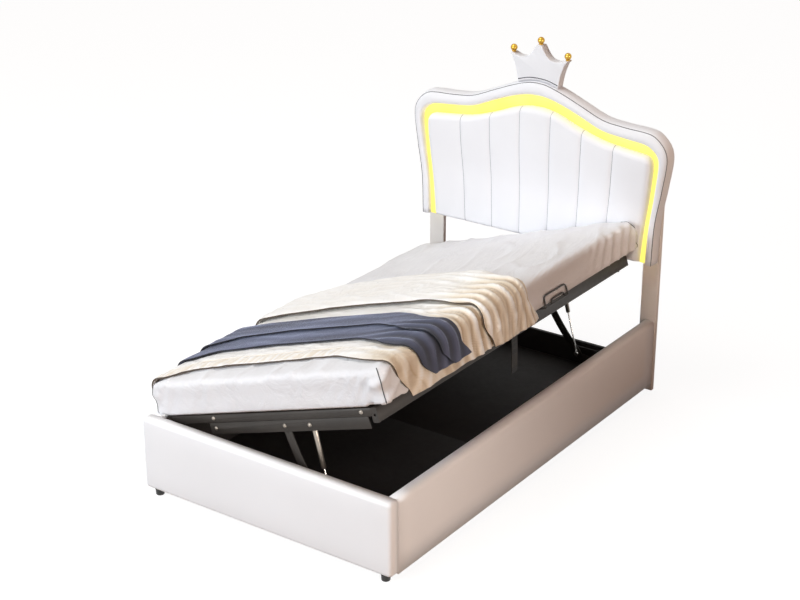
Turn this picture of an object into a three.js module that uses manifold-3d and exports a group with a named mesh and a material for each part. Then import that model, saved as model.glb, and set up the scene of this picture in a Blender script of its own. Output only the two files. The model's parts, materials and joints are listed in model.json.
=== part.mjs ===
// An ottoman bed with its storage box open: an upholstered frame on feet, a lit headboard with a crown,
// and a slatted platform that tilts up about one long side and carries the mattress and its covers.
// Lengths are in millimetres and +Z is up. The floor is z = 0, the foot end faces -Y, and the side
// that opens faces +X. The platform's pieces are drawn as they lie when it is closed, and its group
// then turns them open about the hinge line.
import * as THREE from 'three';
import { mergeVertices } from 'three/addons/utils/BufferGeometryUtils.js';
import Module from 'manifold-3d';

const wasm = await Module();
wasm.setup();

// Clearances and small cuts
const fitGap = 0.3;
const clothGap = 1.4;
const cutOverrun = 5;
const weldDistance = 0.001;

// The box
const overallDepth = 2094;
const boxHalfWidth = 620;
const boxTop = 352;
const boxUnderside = 34;
const railThickness = 58;
const railNoseRadius = 24;
const railLowerRadius = 6;
const railEndEdge = 5;
const footboardThickness = 50;
const footboardRounding = 18;
const postDepth = 24;
const postWidth = 82;
const postProud = 4;
const postLap = 459;
const postCorner = 5;
const postEdge = 2;
const headBoardSetback = 81;
const headBoardThickness = 18;
const headBoardHeight = 128;
const headBoardLift = 16;
const floorLift = 38;
const floorThickness = 10;
const ledgeWidth = 20;
const ledgeHeight = 16;
const bearerWidth = 44;
const bearerEdge = 2;
const boardEdge = 1;
const footRadius = 22;
const footInsetY = 36;
const footInsetX = 48;
const centreFootShares = [0.29, 0.7];

// Brackets and bolts
const bracketSheet = 3.4;
const bracketLift = 142;
const bracketHeight = 60;
const bracketArm = 54;
const boltHeadRadius = 7;
const boltHeadHeight = 3.6;
const boltTipRadius = 5.4;
const inletRadius = 9;
const inletHeight = 10;
const inletLift = 59;
const inletAcrossShare = 0.61;

// The headboard
const headHalfWidth = 672;
const headLow = 641;
const headTop = 1394;
const borderDepth = 59.7;
const borderBevel = 14;
const lightSetback = 20;
const padSetback = 8;
const padCrown = 12;
const backPanelThickness = 9.7;
const backPanelInset = 8;
const padGap = 1;

// The crown on the headboard
const crownSetback = 5.5;
const crownDepth = 40;
const crownBaseHalf = 104;
const crownTipX = 140;
const crownTipRise = 110;
const crownTipHalf = 11;
const crownValleyX = 84;
const crownValleyRise = 103;
const crownMidTipHalf = 14;
const crownMidTipRise = 162;
const crownEdge = 3;
const ballRadius = 16;
const collarRadius = 9;
const collarHeight = 4;

// The hinge line and the platform's frame
const hingeInset = 24;
const hingeDrop = 24;
const openTilt = 18.1;
const hingePinRadius = 6;
const hingePlateHeight = 78;
const hingePlateRadius = 16;
const hingeFlangeDrop = 3;
const hingePlateSheet = 5.4;
const hingePlateGap = 0.6;
const hingePinReach = 10;
const boreClearance = 0.3;
const frameFrontY = 80;
const tubeWidth = 30;
const sideTubeHeight = 60;
const endTubeHeight = 36;
const tubeDrop = 6.3;
const tubeWall = 2;
const tubeCorner = 5;
const tubeEndPlate = 4;
const rightTubeInset = 20;
const drainRadius = 5;
const leftBoltInset = 250;
const rightBoltInset = 62;
const slatWidth = 70;
const slatThickness = 8;
const slatOverhang = 12;
const slatEdge = 2;
const slatCount = 10;

// The lift bar, its stay and its gas strut, at the foot end
const liftBarStartShare = 0.2;
const liftBarLengthShare = 0.7657;
const liftBarHeight = 47.7;
const liftBarSheet = 5;
const liftBarDepth = 25;
const pivotDrop = 59.7;
const stayPivotShare = 0.5704;
const strutPivotShare = 0.6898;
const liftBoltShare = 0.2278;
const linkPinShare = 0.762;
const linkPinDrop = 188;
const linkWidth = 36;
const linkThickness = 5;
const linkBow = 20;
const linkTurns = -3;
const pinRadius = 4;
const studRadius = 5;
const studNutRadius = 9;
const studNutHeight = 5;
const strutRadius = 10;
const strutEyeRadius = 11;
const strutEyeThickness = 12;
const strutBodyStart = 17;
const strutBodyEnd = 188;
const strutNeckRadius = 6;
const rodRadius = 4;
const slotMargin = 33;
const slotHeadroom = 20;
const slotPlateY = 76;
const liftBaseSheet = 4;
const liftBaseFlange = 29;
const restSheet = 4;
const restLength = 44;
const restY = 150;
const restDrop = 46;

// The wire that keeps the mattress in place
const wireRadius = 4;
const wireGap = 2;
const wireHeight = 48.8;
const wireSlat = 5;
const wireSlatGap = 1;
const wireCorner = 20;
const innerWireInset = 46;
const innerWireEndInset = 24;
const innerWireHeight = 19.8;
const wireStripThickness = 1.4;
const wireStripWidth = 18;
const wireStripOut = 6.5;
const wireStripLap = 12;
const wireStripRise = 4;
const wireStripOver = 19;

// The pull strap under the open side
const strapWidth = 44;
const strapThickness = 3;
const strapLength = 158;
const strapToFoot = 4;
const strapOffset = 3;
const strapHem = 26;
const strapSway = 5;

// The mattress
const mattressLeftInset = 44;
const mattressRightProud = 4;
const mattressFootY = 78;
const mattressHeadGap = 6.5;
const mattressLift = 2.3;
const mattressThickness = 137.7;
const mattressCrown = 8;
const mattressCrownReach = 230;
const mattressCorner = 42;
const mattressTopRadius = 34;
const mattressBaseRadius = 30;
const mattressDraw = 4;

// The quilt and the throw
const quiltThickness = 9;
const quiltFold = 13;
const quiltRipple = 1.8;
const quiltLeftClear = 27.7;
const quiltRightDrop = 28.3;
const quiltHang = 7;
const throwThickness = 9;
const throwLayer = 6;
const throwRipple = 1.2;
const throwHang = 4;

// Counts
const arcSteps = 4;
const roundSides = 24;
const smallSides = 16;
const slotSteps = 14;
const headSteps = 48;
const padChannels = 7;
const channelSteps = 5;
const padRows = 12;
const mattressSteps = 9;
const clothAcross = 13;

// Shares of the headboard's half width and height, from the lower corner up to the middle of the top
const outerEdgeShares = [
  [0.925, 0], [0.936, 0.272], [0.973, 0.469], [1, 0.671], [0.982, 0.732], [0.939, 0.78], [0.878, 0.814],
  [0.658, 0.829], [0.513, 0.845], [0.35, 0.902], [0.19, 0.96], [0.064, 0.995], [0, 1],
];
const lightEdgeShares = [
  [0.866, 0], [0.879, 0.238], [0.911, 0.457], [0.927, 0.649], [0.908, 0.689], [0.871, 0.716], [0.833, 0.732],
  [0.679, 0.749], [0.506, 0.772], [0.327, 0.838], [0.164, 0.891], [0.06, 0.912], [0, 0.915],
];
const padEdgeShares = [
  [0.818, 0], [0.842, 0.238], [0.868, 0.424], [0.881, 0.629], [0.866, 0.656], [0.833, 0.671], [0.796, 0.675],
  [0.67, 0.687], [0.506, 0.708], [0.327, 0.757], [0.164, 0.813], [0.06, 0.833], [0, 0.835],
];

// Shares of the way across the covers, from the left hem to the right one, and at each of them the
// shares of the mattress's length where an edge lies
const acrossShares = [0, 0.09, 0.2, 0.39, 0.66, 0.88, 0.93, 1];
const quiltFootShares = [0.017, 0.012, 0.053, 0.063, 0.071, 0.035, 0.038, 0.07];
const throwFootShares = [0.111, 0.108, 0.143, 0.154, 0.154, 0.096, 0.082, 0.135];
const throwHeadShares = [0.316, 0.315, 0.33, 0.337, 0.321, 0.253, 0.24, 0.268];
const foldFootShares = [0.386, 0.39, 0.401, 0.421, 0.41, 0.352, 0.333, 0.373];
const quiltHeadShares = [0.546, 0.557, 0.625, 0.642, 0.622, 0.483, 0.51, 0.527];

// Layers of the throw on each of its rows, from the foot end on
const throwLayerShares = [0, 0, 1, 1, 1, 2, 1.4];

// The looks of the materials
const whiteCover = { color: 0xece9e4, roughness: 0.55, metalness: 0 };
const padCover = { color: 0xf0eeea, roughness: 0.5, metalness: 0 };
const lightCover = { color: 0xffff88, roughness: 0.6, metalness: 0 };
const blackSteel = { color: 0x1d1d20, roughness: 0.5, metalness: 0.6 };
const zincSteel = { color: 0xb9bcc0, roughness: 0.35, metalness: 0.9 };
const chromeSteel = { color: 0xd9dce0, roughness: 0.12, metalness: 1 };
const blackLining = { color: 0x17171a, roughness: 0.9, metalness: 0 };
const blackPlastic = { color: 0x202022, roughness: 0.6, metalness: 0 };
const slatWood = { color: 0xc9a878, roughness: 0.6, metalness: 0 };
const goldBall = { color: 0xd4a548, roughness: 0.25, metalness: 1 };
const sheetWhite = { color: 0xf4f4f3, roughness: 0.85, metalness: 0 };
const creamSatin = { color: 0xe9dfcb, roughness: 0.4, metalness: 0 };
const navyCloth = { color: 0x1f2a4d, roughness: 0.85, metalness: 0 };

// Places that follow from the sizes, across the bed
const railInnerX = boxHalfWidth - railThickness;
const postOuterX = boxHalfWidth + postProud;
const postInnerX = postOuterX - postWidth;
const footX = boxHalfWidth - footInsetX;
const hingeX = hingeInset - railInnerX;
const leftTubeX = hingeX;
const rightTubeX = railInnerX - rightTubeInset;
const centreTubeX = (leftTubeX + rightTubeX) / 2;
const frameBoltXs = [leftTubeX + leftBoltInset, rightTubeX - rightBoltInset];
const tubeSpan = rightTubeX - leftTubeX;
const liftBarLeft = hingeX + tubeSpan * liftBarStartShare;
const liftBarRight = liftBarLeft + tubeSpan * liftBarLengthShare;
const liftBoltX = hingeX + tubeSpan * liftBoltShare;
const stayPivotX = hingeX + tubeSpan * stayPivotShare;
const strutPivotX = hingeX + tubeSpan * strutPivotShare;
const linkPinX = hingeX + tubeSpan * linkPinShare;
const strapX = rightTubeX + strapOffset;
const mattressLeft = mattressLeftInset - boxHalfWidth;
const mattressRight = boxHalfWidth + mattressRightProud;
const wireX = mattressRight + wireGap + wireRadius;

// Along the bed
const railStartY = footboardThickness + fitGap;
const railEndY = overallDepth - postDepth - fitGap;
const headBoardFrontY = overallDepth - headBoardSetback;
const middleY = (footboardThickness + headBoardFrontY) / 2;
const frameEndY = 2 * middleY - frameFrontY;
const headBackY = railEndY - backPanelThickness - fitGap;
const borderFrontY = headBackY - borderDepth;
const lightFrontY = borderFrontY + lightSetback;
const padSeamY = borderFrontY + padSetback;
const crownFrontY = borderFrontY + crownSetback;
const mattressHeadY = borderFrontY - mattressHeadGap;
const mattressLength = mattressHeadY - mattressFootY;
const hingePlateY = frameFrontY - hingePlateGap - hingePlateSheet;
const liftPlateY = frameFrontY + boltHeadHeight;
const linkY = liftPlateY + liftBarSheet + 2 * fitGap;
const studEndY = linkY + linkThickness + fitGap;
const strutY = studEndY + studNutHeight + fitGap;
const slatPitch = (frameEndY - frameFrontY) / slatCount;
const wireSlatEndY = frameFrontY + slatPitch * (wireSlat + 0.5) + slatWidth / 2;
const wireStripStartY = wireSlatEndY + wireSlatGap + wireStripWidth / 2;
const wireStripEndY = wireStripStartY + slatPitch;
const wireStartY = wireStripStartY + wireStripOut;
const wireEndY = wireStripEndY - wireStripOut;
const innerWireStartY = wireStartY + innerWireInset;
const innerWireEndY = wireEndY - innerWireEndInset;
const strapY = middleY - strapToFoot;

// Upwards
const floorTop = boxUnderside + floorLift;
const headBoardLow = boxUnderside + headBoardLift;
const bracketLow = boxUnderside + bracketLift;
const bracketHigh = bracketLow + bracketHeight;
const postTop = headLow + postLap;
const inletZ = headLow + inletLift;
const crownTipZ = headTop + crownTipRise;
const crownValleyZ = headTop + crownValleyRise;
const crownMidTipZ = headTop + crownMidTipRise;
const hingeZ = boxTop - hingeDrop;
const tubeTop = boxTop - tubeDrop;
const pivotZ = tubeTop - pivotDrop;
const linkPinZ = hingeZ - linkPinDrop;
const mattressBase = boxTop + mattressLift;
const mattressTop = mattressBase + mattressThickness;
const wireFootZ = boxTop + fitGap * 4;
const quiltLeftHem = mattressBase + quiltLeftClear;
const quiltRightHem = mattressBase - quiltRightDrop;

// Adds a named mesh with a material of its own to a group.
function piece(name, geometry, look, group) {
  const mesh = new THREE.Mesh(geometry, new THREE.MeshStandardMaterial(look));
  mesh.name = name;
  group.add(mesh);
  return mesh;
}

// Keeps only positions and joins the vertices that coincide.
function welded(geometry) {
  const plain = geometry.index ? geometry.toNonIndexed() : geometry.clone();
  for (const key of Object.keys(plain.attributes)) {
    if (key !== 'position') plain.deleteAttribute(key);
  }
  const merged = mergeVertices(plain, weldDistance);
  const kept = [];
  const order = merged.index.array;
  for (let i = 0; i < order.length; i += 3) {
    const [a, b, c] = [order[i], order[i + 1], order[i + 2]];
    if (a !== b && b !== c && c !== a) kept.push(a, b, c);
  }
  merged.setIndex(kept);
  return merged;
}

// Turns a closed geometry into a solid for a join or a cut.
function solid(geometry) {
  const plain = welded(geometry);
  return new wasm.Manifold(new wasm.Mesh({
    numProp: 3,
    vertProperties: new Float32Array(plain.attributes.position.array),
    triVerts: new Uint32Array(plain.index.array),
  }));
}

// Turns a solid back into a geometry.
function surface(body) {
  const mesh = body.getMesh();
  const geometry = new THREE.BufferGeometry();
  geometry.setAttribute('position', new THREE.BufferAttribute(new Float32Array(mesh.vertProperties), 3));
  geometry.setIndex(new THREE.BufferAttribute(new Uint32Array(mesh.triVerts), 1));
  return geometry;
}

// Joins geometries that overlap into one, and then cuts others out of it.
function joined(added, removed = []) {
  let body = solid(added[0]);
  for (const geometry of added.slice(1)) body = body.add(solid(geometry));
  for (const geometry of removed) body = body.subtract(solid(geometry));
  return surface(body);
}

// The same geometry seen in a mirror that swaps the foot end and the head end of the box.
function headCopy(geometry) {
  const copy = welded(geometry);
  const position = copy.attributes.position;
  for (let i = 0; i < position.count; i += 1) position.setY(i, 2 * middleY - position.getY(i));
  const order = copy.index.array;
  for (let i = 0; i < order.length; i += 3) [order[i], order[i + 1]] = [order[i + 1], order[i]];
  return copy;
}

// The same geometry seen in a mirror that swaps left and right.
function sideCopy(geometry) {
  const copy = welded(geometry);
  const position = copy.attributes.position;
  for (let i = 0; i < position.count; i += 1) position.setX(i, -position.getX(i));
  const order = copy.index.array;
  for (let i = 0; i < order.length; i += 3) [order[i], order[i + 1]] = [order[i + 1], order[i]];
  return copy;
}

// An outline from a list of points.
function outline(points) {
  return new THREE.Shape(points.map(([across, up]) => new THREE.Vector2(across, up)));
}

// The points of an arc between two angles, both ends included.
function arcPoints(across, up, radius, start, end, steps) {
  const points = [];
  for (let i = 0; i <= steps; i += 1) {
    const angle = start + (end - start) * i / steps;
    points.push([across + radius * Math.cos(angle), up + radius * Math.sin(angle)]);
  }
  return points;
}

// The points of a rectangle with one radius for its lower corners and one for its upper corners.
function roundedPoints(low, high, lowerRadius, upperRadius, steps = arcSteps) {
  const corner = (across, up, signAcross, signUp, radius, start) => (radius > 0
    ? arcPoints(across - signAcross * radius, up - signUp * radius, radius, start, start + Math.PI / 2, steps)
    : [[across, up]]);
  return [
    ...corner(low[0], low[1], -1, -1, lowerRadius, Math.PI),
    ...corner(high[0], low[1], 1, -1, lowerRadius, -Math.PI / 2),
    ...corner(high[0], high[1], 1, 1, upperRadius, 0),
    ...corner(low[0], high[1], -1, 1, upperRadius, Math.PI / 2),
  ];
}

// The same rectangle as an outline.
function roundedRectangle(low, high, lowerRadius, upperRadius, steps = arcSteps) {
  return outline(roundedPoints(low, high, lowerRadius, upperRadius, steps));
}

// The points of a circle.
function circlePoints(across, up, radius, sides = smallSides) {
  return arcPoints(across, up, radius, 0, 2 * Math.PI, sides).slice(0, -1);
}

// A hole for an outline, from its points.
function hole(points) {
  return new THREE.Path(points.map(([across, up]) => new THREE.Vector2(across, up)));
}

// Extrudes a shape, with an optional rounded edge that stays inside the outline and the length.
function extruded(shape, length, edge) {
  return new THREE.ExtrudeGeometry(shape, {
    depth: length - 2 * edge,
    bevelEnabled: edge > 0,
    bevelThickness: edge,
    bevelSize: edge,
    bevelOffset: -edge,
    bevelSegments: 2,
  }).translate(0, 0, edge);
}

// A prism along X from an outline in Y and Z.
function alongX(shape, start, end, edge = 0) {
  const turn = new THREE.Matrix4().makeBasis(
    new THREE.Vector3(0, 1, 0), new THREE.Vector3(0, 0, 1), new THREE.Vector3(1, 0, 0));
  return extruded(shape, end - start, edge).applyMatrix4(turn).translate(start, 0, 0);
}

// A prism along Y from an outline in X and Z.
function alongY(shape, start, end, edge = 0) {
  return extruded(shape, end - start, edge).rotateX(Math.PI / 2).translate(0, end, 0);
}

// A prism along Z from an outline in X and Y.
function alongZ(shape, start, end, edge = 0) {
  return extruded(shape, end - start, edge).translate(0, 0, start);
}

// A block between two corners.
function block(low, high) {
  const size = high.map((value, axis) => value - low[axis]);
  const centre = high.map((value, axis) => (value + low[axis]) / 2);
  return new THREE.BoxGeometry(...size).translate(...centre);
}

// A round bar along Y.
function barAlongY(x, z, start, end, radius, sides = smallSides) {
  return new THREE.CylinderGeometry(radius, radius, end - start, sides).translate(0, 0, 0)
    .translate(x, (start + end) / 2, z);
}

// A domed bolt head that looks towards -Y, on a face at the given depth.
function boltHeadY(x, z, faceY) {
  const profile = [
    [0, -fitGap], [boltHeadRadius, -fitGap], [boltHeadRadius, boltHeadHeight / 2],
    [boltTipRadius, boltHeadHeight], [0, boltHeadHeight],
  ];
  const points = profile.map(([radius, height]) => new THREE.Vector2(radius, height));
  return new THREE.LatheGeometry(points, smallSides).rotateX(Math.PI).translate(x, faceY, z);
}

// A domed bolt head that looks towards the middle of the box, on a face across X.
function boltHeadX(faceX, y, z, side) {
  const profile = [
    [0, -fitGap], [boltHeadRadius, -fitGap], [boltHeadRadius, boltHeadHeight / 2],
    [boltTipRadius, boltHeadHeight], [0, boltHeadHeight],
  ];
  const points = profile.map(([radius, height]) => new THREE.Vector2(radius, height));
  return new THREE.LatheGeometry(points, smallSides).rotateZ(side * Math.PI / 2).translate(faceX, y, z);
}

// A closed solid from a grid of outer points and a grid of inner points of the same size.
function sheetSolid(outer, inner) {
  const rows = outer.length;
  const columns = outer[0].length;
  const positions = [];
  const order = [];
  for (const grid of [outer, inner]) {
    for (const row of grid) {
      for (const point of row) positions.push(...point);
    }
  }
  const top = (row, column) => row * columns + column;
  const low = (row, column) => rows * columns + row * columns + column;
  const quad = (a, b, c, d) => order.push(a, b, c, a, c, d);
  for (let row = 0; row + 1 < rows; row += 1) {
    for (let column = 0; column + 1 < columns; column += 1) {
      quad(top(row, column), top(row, column + 1), top(row + 1, column + 1), top(row + 1, column));
      quad(low(row, column), low(row + 1, column), low(row + 1, column + 1), low(row, column + 1));
    }
    quad(top(row, 0), top(row + 1, 0), low(row + 1, 0), low(row, 0));
    quad(top(row + 1, columns - 1), top(row, columns - 1), low(row, columns - 1), low(row + 1, columns - 1));
  }
  for (let column = 0; column + 1 < columns; column += 1) {
    quad(top(0, column + 1), top(0, column), low(0, column), low(0, column + 1));
    quad(top(rows - 1, column), top(rows - 1, column + 1), low(rows - 1, column + 1), low(rows - 1, column));
  }
  const geometry = new THREE.BufferGeometry();
  geometry.setAttribute('position', new THREE.Float32BufferAttribute(positions, 3));
  geometry.setIndex(order);
  return geometry;
}

// A closed solid through rings of the same number of points, with a flat cap at each end. A closed loop
// of rings has no caps.
function ringSolid(rings, loop = false) {
  const count = rings[0].length;
  const positions = rings.flat(2);
  const order = [];
  const last = loop ? rings.length : rings.length - 1;
  for (let ring = 0; ring < last; ring += 1) {
    const next = (ring + 1) % rings.length;
    for (let i = 0; i < count; i += 1) {
      const j = (i + 1) % count;
      order.push(ring * count + i, ring * count + j, next * count + j);
      order.push(ring * count + i, next * count + j, next * count + i);
    }
  }
  if (!loop) {
    for (let i = 1; i + 1 < count; i += 1) {
      order.push(0, i + 1, i);
      const base = (rings.length - 1) * count;
      order.push(base, base + i, base + i + 1);
    }
  }
  const geometry = new THREE.BufferGeometry();
  geometry.setAttribute('position', new THREE.Float32BufferAttribute(positions, 3));
  geometry.setIndex(order);
  return geometry;
}

// The board across the foot end, rounded on every front edge and square against the rails.
function footboard() {
  const face = roundedRectangle([-boxHalfWidth, boxUnderside], [boxHalfWidth, boxTop], railNoseRadius,
    railNoseRadius);
  const whole = alongY(face, 0, 2 * footboardThickness, footboardRounding);
  const rear = block([-2 * boxHalfWidth, footboardThickness, 0],
    [2 * boxHalfWidth, footboardThickness * 3, 2 * boxTop]);
  return joined([whole], [rear]);
}

// A long rail with a rounded top and the ledge that carries the floor panels.
function sideRail() {
  const section = roundedRectangle([railInnerX, boxUnderside], [boxHalfWidth, boxTop], railLowerRadius,
    railNoseRadius);
  const rail = alongY(section, railStartY, railEndY, railEndEdge);
  const ledgeTop = floorTop - floorThickness - fitGap;
  const ledge = block([railInnerX - ledgeWidth, railStartY + cutOverrun, ledgeTop - ledgeHeight],
    [railInnerX + cutOverrun, headBoardFrontY, ledgeTop]);
  return joined([rail, ledge]);
}

// A short board across the head end, inside the rails.
function headEndBoard() {
  const reach = railInnerX - fitGap;
  const face = roundedRectangle([-reach, headBoardLow], [reach, headBoardLow + headBoardHeight], 0, 0);
  return alongY(face, headBoardFrontY, headBoardFrontY + headBoardThickness, boardEdge);
}

// One of the two panels of the box's floor.
function floorPanel(start, end) {
  const reach = railInnerX - 2 * fitGap;
  const low = floorTop - floorThickness;
  const face = roundedRectangle([-reach, start], [reach, end], 0, 0);
  return alongZ(face, low, floorTop, boardEdge);
}

// The bearer under the middle of the floor.
function centreBearer() {
  const half = bearerWidth / 2;
  const section = roundedRectangle([-half, boxUnderside], [half, floorTop - floorThickness - fitGap],
    bearerEdge, bearerEdge);
  return alongY(section, railStartY, headBoardFrontY - fitGap);
}

// A moulded foot with a wider flange at its top.
function foot(x, y) {
  const top = boxUnderside - fitGap;
  const profile = [
    [0, 0], [footRadius * 0.72, 0], [footRadius * 0.8, top * 0.07], [footRadius * 0.86, top * 0.72],
    [footRadius, top * 0.86], [footRadius, top], [0, top],
  ];
  const points = profile.map(([radius, height]) => new THREE.Vector2(radius, height));
  return new THREE.LatheGeometry(points, roundSides).rotateX(Math.PI / 2).translate(x, y, 0);
}

// An angle bracket in the right front corner, with two bolt heads on each arm.
function cornerBracket() {
  const faceX = railInnerX - fitGap;
  const faceY = footboardThickness + fitGap;
  const angle = outline([
    [faceX, faceY], [faceX, faceY + bracketArm], [faceX - bracketSheet, faceY + bracketArm],
    [faceX - bracketSheet, faceY + bracketSheet], [faceX - bracketArm, faceY + bracketSheet],
    [faceX - bracketArm, faceY],
  ]);
  const added = [alongZ(angle, bracketLow, bracketHigh)];
  for (const share of [0.2, 0.8]) {
    const z = bracketLow + (bracketHigh - bracketLow) * share;
    added.push(boltHeadX(faceX - bracketSheet, faceY + bracketArm * 0.6, z, 1));
    const head = boltHeadY(0, 0, 0).rotateZ(Math.PI);
    added.push(head.translate(faceX - bracketArm * 0.6, faceY + bracketSheet, z));
  }
  return joined(added);
}

// An angle bracket that ties the right rail to its headboard post.
function headBracket() {
  const faceX = railInnerX - fitGap;
  const faceY = railEndY;
  const angle = outline([
    [faceX, faceY], [postInnerX, faceY], [postInnerX, faceY - bracketSheet],
    [faceX - bracketSheet, faceY - bracketSheet], [faceX - bracketSheet, headBoardFrontY
      + headBoardThickness + bracketSheet], [faceX, headBoardFrontY + headBoardThickness + bracketSheet],
  ]);
  const added = [alongZ(angle, bracketLow, bracketHigh)];
  for (const share of [0.2, 0.8]) {
    const z = bracketLow + (bracketHigh - bracketLow) * share;
    added.push(boltHeadX(faceX - bracketSheet, (faceY + headBoardFrontY + headBoardThickness) / 2, z, 1));
  }
  return joined(added);
}

// A flat post that carries the headboard.
function headboardPost() {
  const section = roundedRectangle([postInnerX, overallDepth - postDepth], [postOuterX, overallDepth],
    postCorner, postCorner);
  return alongZ(section, 0, postTop, postEdge);
}

// The points of one half of a headboard edge, at equal steps of its curve.
function halfEdge(shares) {
  const corners = shares.map(([across, up]) => new THREE.Vector3(
    across * headHalfWidth, 0, headLow + up * (headTop - headLow)));
  const curve = new THREE.CatmullRomCurve3(corners, false, 'centripetal');
  const points = [];
  const steps = headSteps / 2;
  for (let i = 0; i <= steps; i += 1) {
    const point = curve.getPoint(i / steps);
    points.push([Math.max(0, point.x), point.z]);
  }
  points[steps][0] = 0;
  return points;
}

// A whole headboard edge, from the right lower corner over the top to the left lower corner.
function wholeEdge(shares) {
  const half = halfEdge(shares);
  const other = half.slice(0, -1).reverse().map(([x, z]) => [-x, z]);
  return [...half, ...other];
}

// The height of an edge's upper part at a distance from the middle.
function edgeHeight(shares, distance) {
  const half = halfEdge(shares);
  let found = half[half.length - 1][1];
  for (let i = half.length - 1; i > 0; i -= 1) {
    const [x1, z1] = half[i];
    const [x0, z0] = half[i - 1];
    if (x0 < x1) break;
    if (distance >= x1) {
      const part = Math.min(1, (distance - x1) / Math.max(x0 - x1, weldDistance));
      found = z1 + (z0 - z1) * part;
    }
  }
  return found;
}

// The half width of an edge's lower part at a height.
function edgeWidth(shares, height) {
  const half = halfEdge(shares);
  let found = half[0][0];
  for (let i = 1; i < half.length; i += 1) {
    const [x1, z1] = half[i];
    const [x0, z0] = half[i - 1];
    if (x1 < x0) break;
    if (height >= z0) found = x0 + (x1 - x0) * Math.min(1, (height - z0) / (z1 - z0));
  }
  return found;
}

// A band between two headboard edges. Each entry of the section is a share of the way from the inner
// edge to the outer one and a depth.
function headBand(innerShares, outerShares, section, insetLength) {
  const inner = wholeEdge(innerShares);
  const outer = wholeEdge(outerShares);
  const rings = inner.map((point, i) => {
    const span = Math.hypot(outer[i][0] - point[0], outer[i][1] - point[1]);
    return section.map(([share, depth]) => {
      const part = (insetLength + share * (span - insetLength)) / span;
      return [point[0] + (outer[i][0] - point[0]) * part, depth, point[1] + (outer[i][1] - point[1]) * part];
    });
  });
  return ringSolid(rings);
}

// The padded border round the headboard.
function headboardBorder() {
  const section = [
    [0, headBackY], [0, borderFrontY + borderBevel * 0.5], [0.08, borderFrontY + borderBevel * 0.14],
    [0.3, borderFrontY], [0.66, borderFrontY], [0.88, borderFrontY + borderBevel * 0.3],
    [1, borderFrontY + borderBevel], [1, headBackY],
  ];
  return headBand(lightEdgeShares, outerEdgeShares, section, fitGap);
}

// The translucent strip that lights up between the border and the pad.
function lightStrip() {
  const section = [[0, headBackY], [0, lightFrontY], [1, lightFrontY], [1, headBackY]];
  return headBand(padEdgeShares, lightEdgeShares, section, padGap);
}

// The quilted middle of the headboard, with upright channels.
function headboardPad() {
  const widest = Math.max(...padEdgeShares.map(([across]) => across));
  const cornerHeight = padEdgeShares.find(([across]) => across === widest)[1];
  const low = headLow;
  const cornerZ = headLow + cornerHeight * (headTop - headLow);
  const columns = padChannels * channelSteps;
  const cornerX = edgeWidth(padEdgeShares, cornerZ);
  const front = [];
  const edgeAt = (row) => Math.sin(Math.PI * Math.min(0.5, row * 0.5 / 2));
  for (let row = 0; row <= padRows; row += 1) {
    const line = [];
    const up = row / padRows;
    for (let column = 0; column <= columns; column += 1) {
      const across = 2 * column / columns - 1;
      const reach = edgeWidth(padEdgeShares, low + up * (cornerZ - low)) - fitGap;
      const top = edgeHeight(padEdgeShares, Math.abs(across) * cornerX) - fitGap;
      const channel = (column % channelSteps) / channelSteps;
      const rise = edgeAt(Math.min(row, padRows - row)) * (0.25 + 0.75 * Math.sin(Math.PI * channel));
      line.push([across * reach, padSeamY - padCrown * rise, low + up * (top - low)]);
    }
    front.push(line);
  }
  const back = front.map((line) => line.map(([x, , z]) => [x, headBackY, z]));
  return sheetSolid(front, back);
}

// The flat panel behind the headboard's upholstery.
function headboardBack() {
  const edge = wholeEdge(outerEdgeShares);
  const middle = (headLow + headTop) / 2;
  const narrow = (headHalfWidth - backPanelInset) / headHalfWidth;
  const lower = (headTop - headLow - 2 * backPanelInset) / (headTop - headLow);
  const shape = outline(edge.map(([x, z]) => [x * narrow, middle + (z - middle) * lower]));
  return alongY(shape, headBackY + fitGap, headBackY + backPanelThickness);
}

// The padded crown that stands on the headboard.
function crown() {
  const base = [];
  const steps = 2 * arcSteps;
  for (let i = -steps; i <= steps; i += 1) {
    const x = crownBaseHalf * i / steps;
    base.push([x, edgeHeight(outerEdgeShares, Math.abs(x)) + 3 * fitGap]);
  }
  const upper = [
    [crownTipX + crownTipHalf, crownTipZ - crownTipHalf / 2], [crownTipX + crownTipHalf / 2, crownTipZ],
    [crownTipX - crownTipHalf, crownTipZ], [crownValleyX, crownValleyZ - crownTipHalf],
    [crownMidTipHalf, crownMidTipZ],
  ];
  const lower = [[crownTipX - crownTipHalf / 2, crownTipZ - 5 * crownTipHalf]];
  const right = [...lower, ...upper];
  const left = right.slice().reverse().map(([x, z]) => [-x, z]);
  const shape = outline([...base, ...right, ...left]);
  return alongY(shape, crownFrontY, crownFrontY + crownDepth, crownEdge);
}

// A ball on a collar, as it stands on a point of the crown.
function crownBall(x, z) {
  const profile = [[0, 0], [collarRadius, 0], [collarRadius, collarHeight]];
  const steps = 7;
  const start = Math.asin(collarRadius * 0.8 / ballRadius);
  const centre = collarHeight + ballRadius * Math.cos(start);
  for (let i = 0; i <= steps; i += 1) {
    const angle = start + (Math.PI - start) * i / steps;
    profile.push([ballRadius * Math.sin(angle), centre - ballRadius * Math.cos(angle)]);
  }
  profile[profile.length - 1][0] = 0;
  const points = profile.map(([radius, height]) => new THREE.Vector2(radius, height));
  return new THREE.LatheGeometry(points, roundSides).rotateX(Math.PI / 2)
    .translate(x, crownFrontY + crownDepth / 2, z);
}

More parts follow.
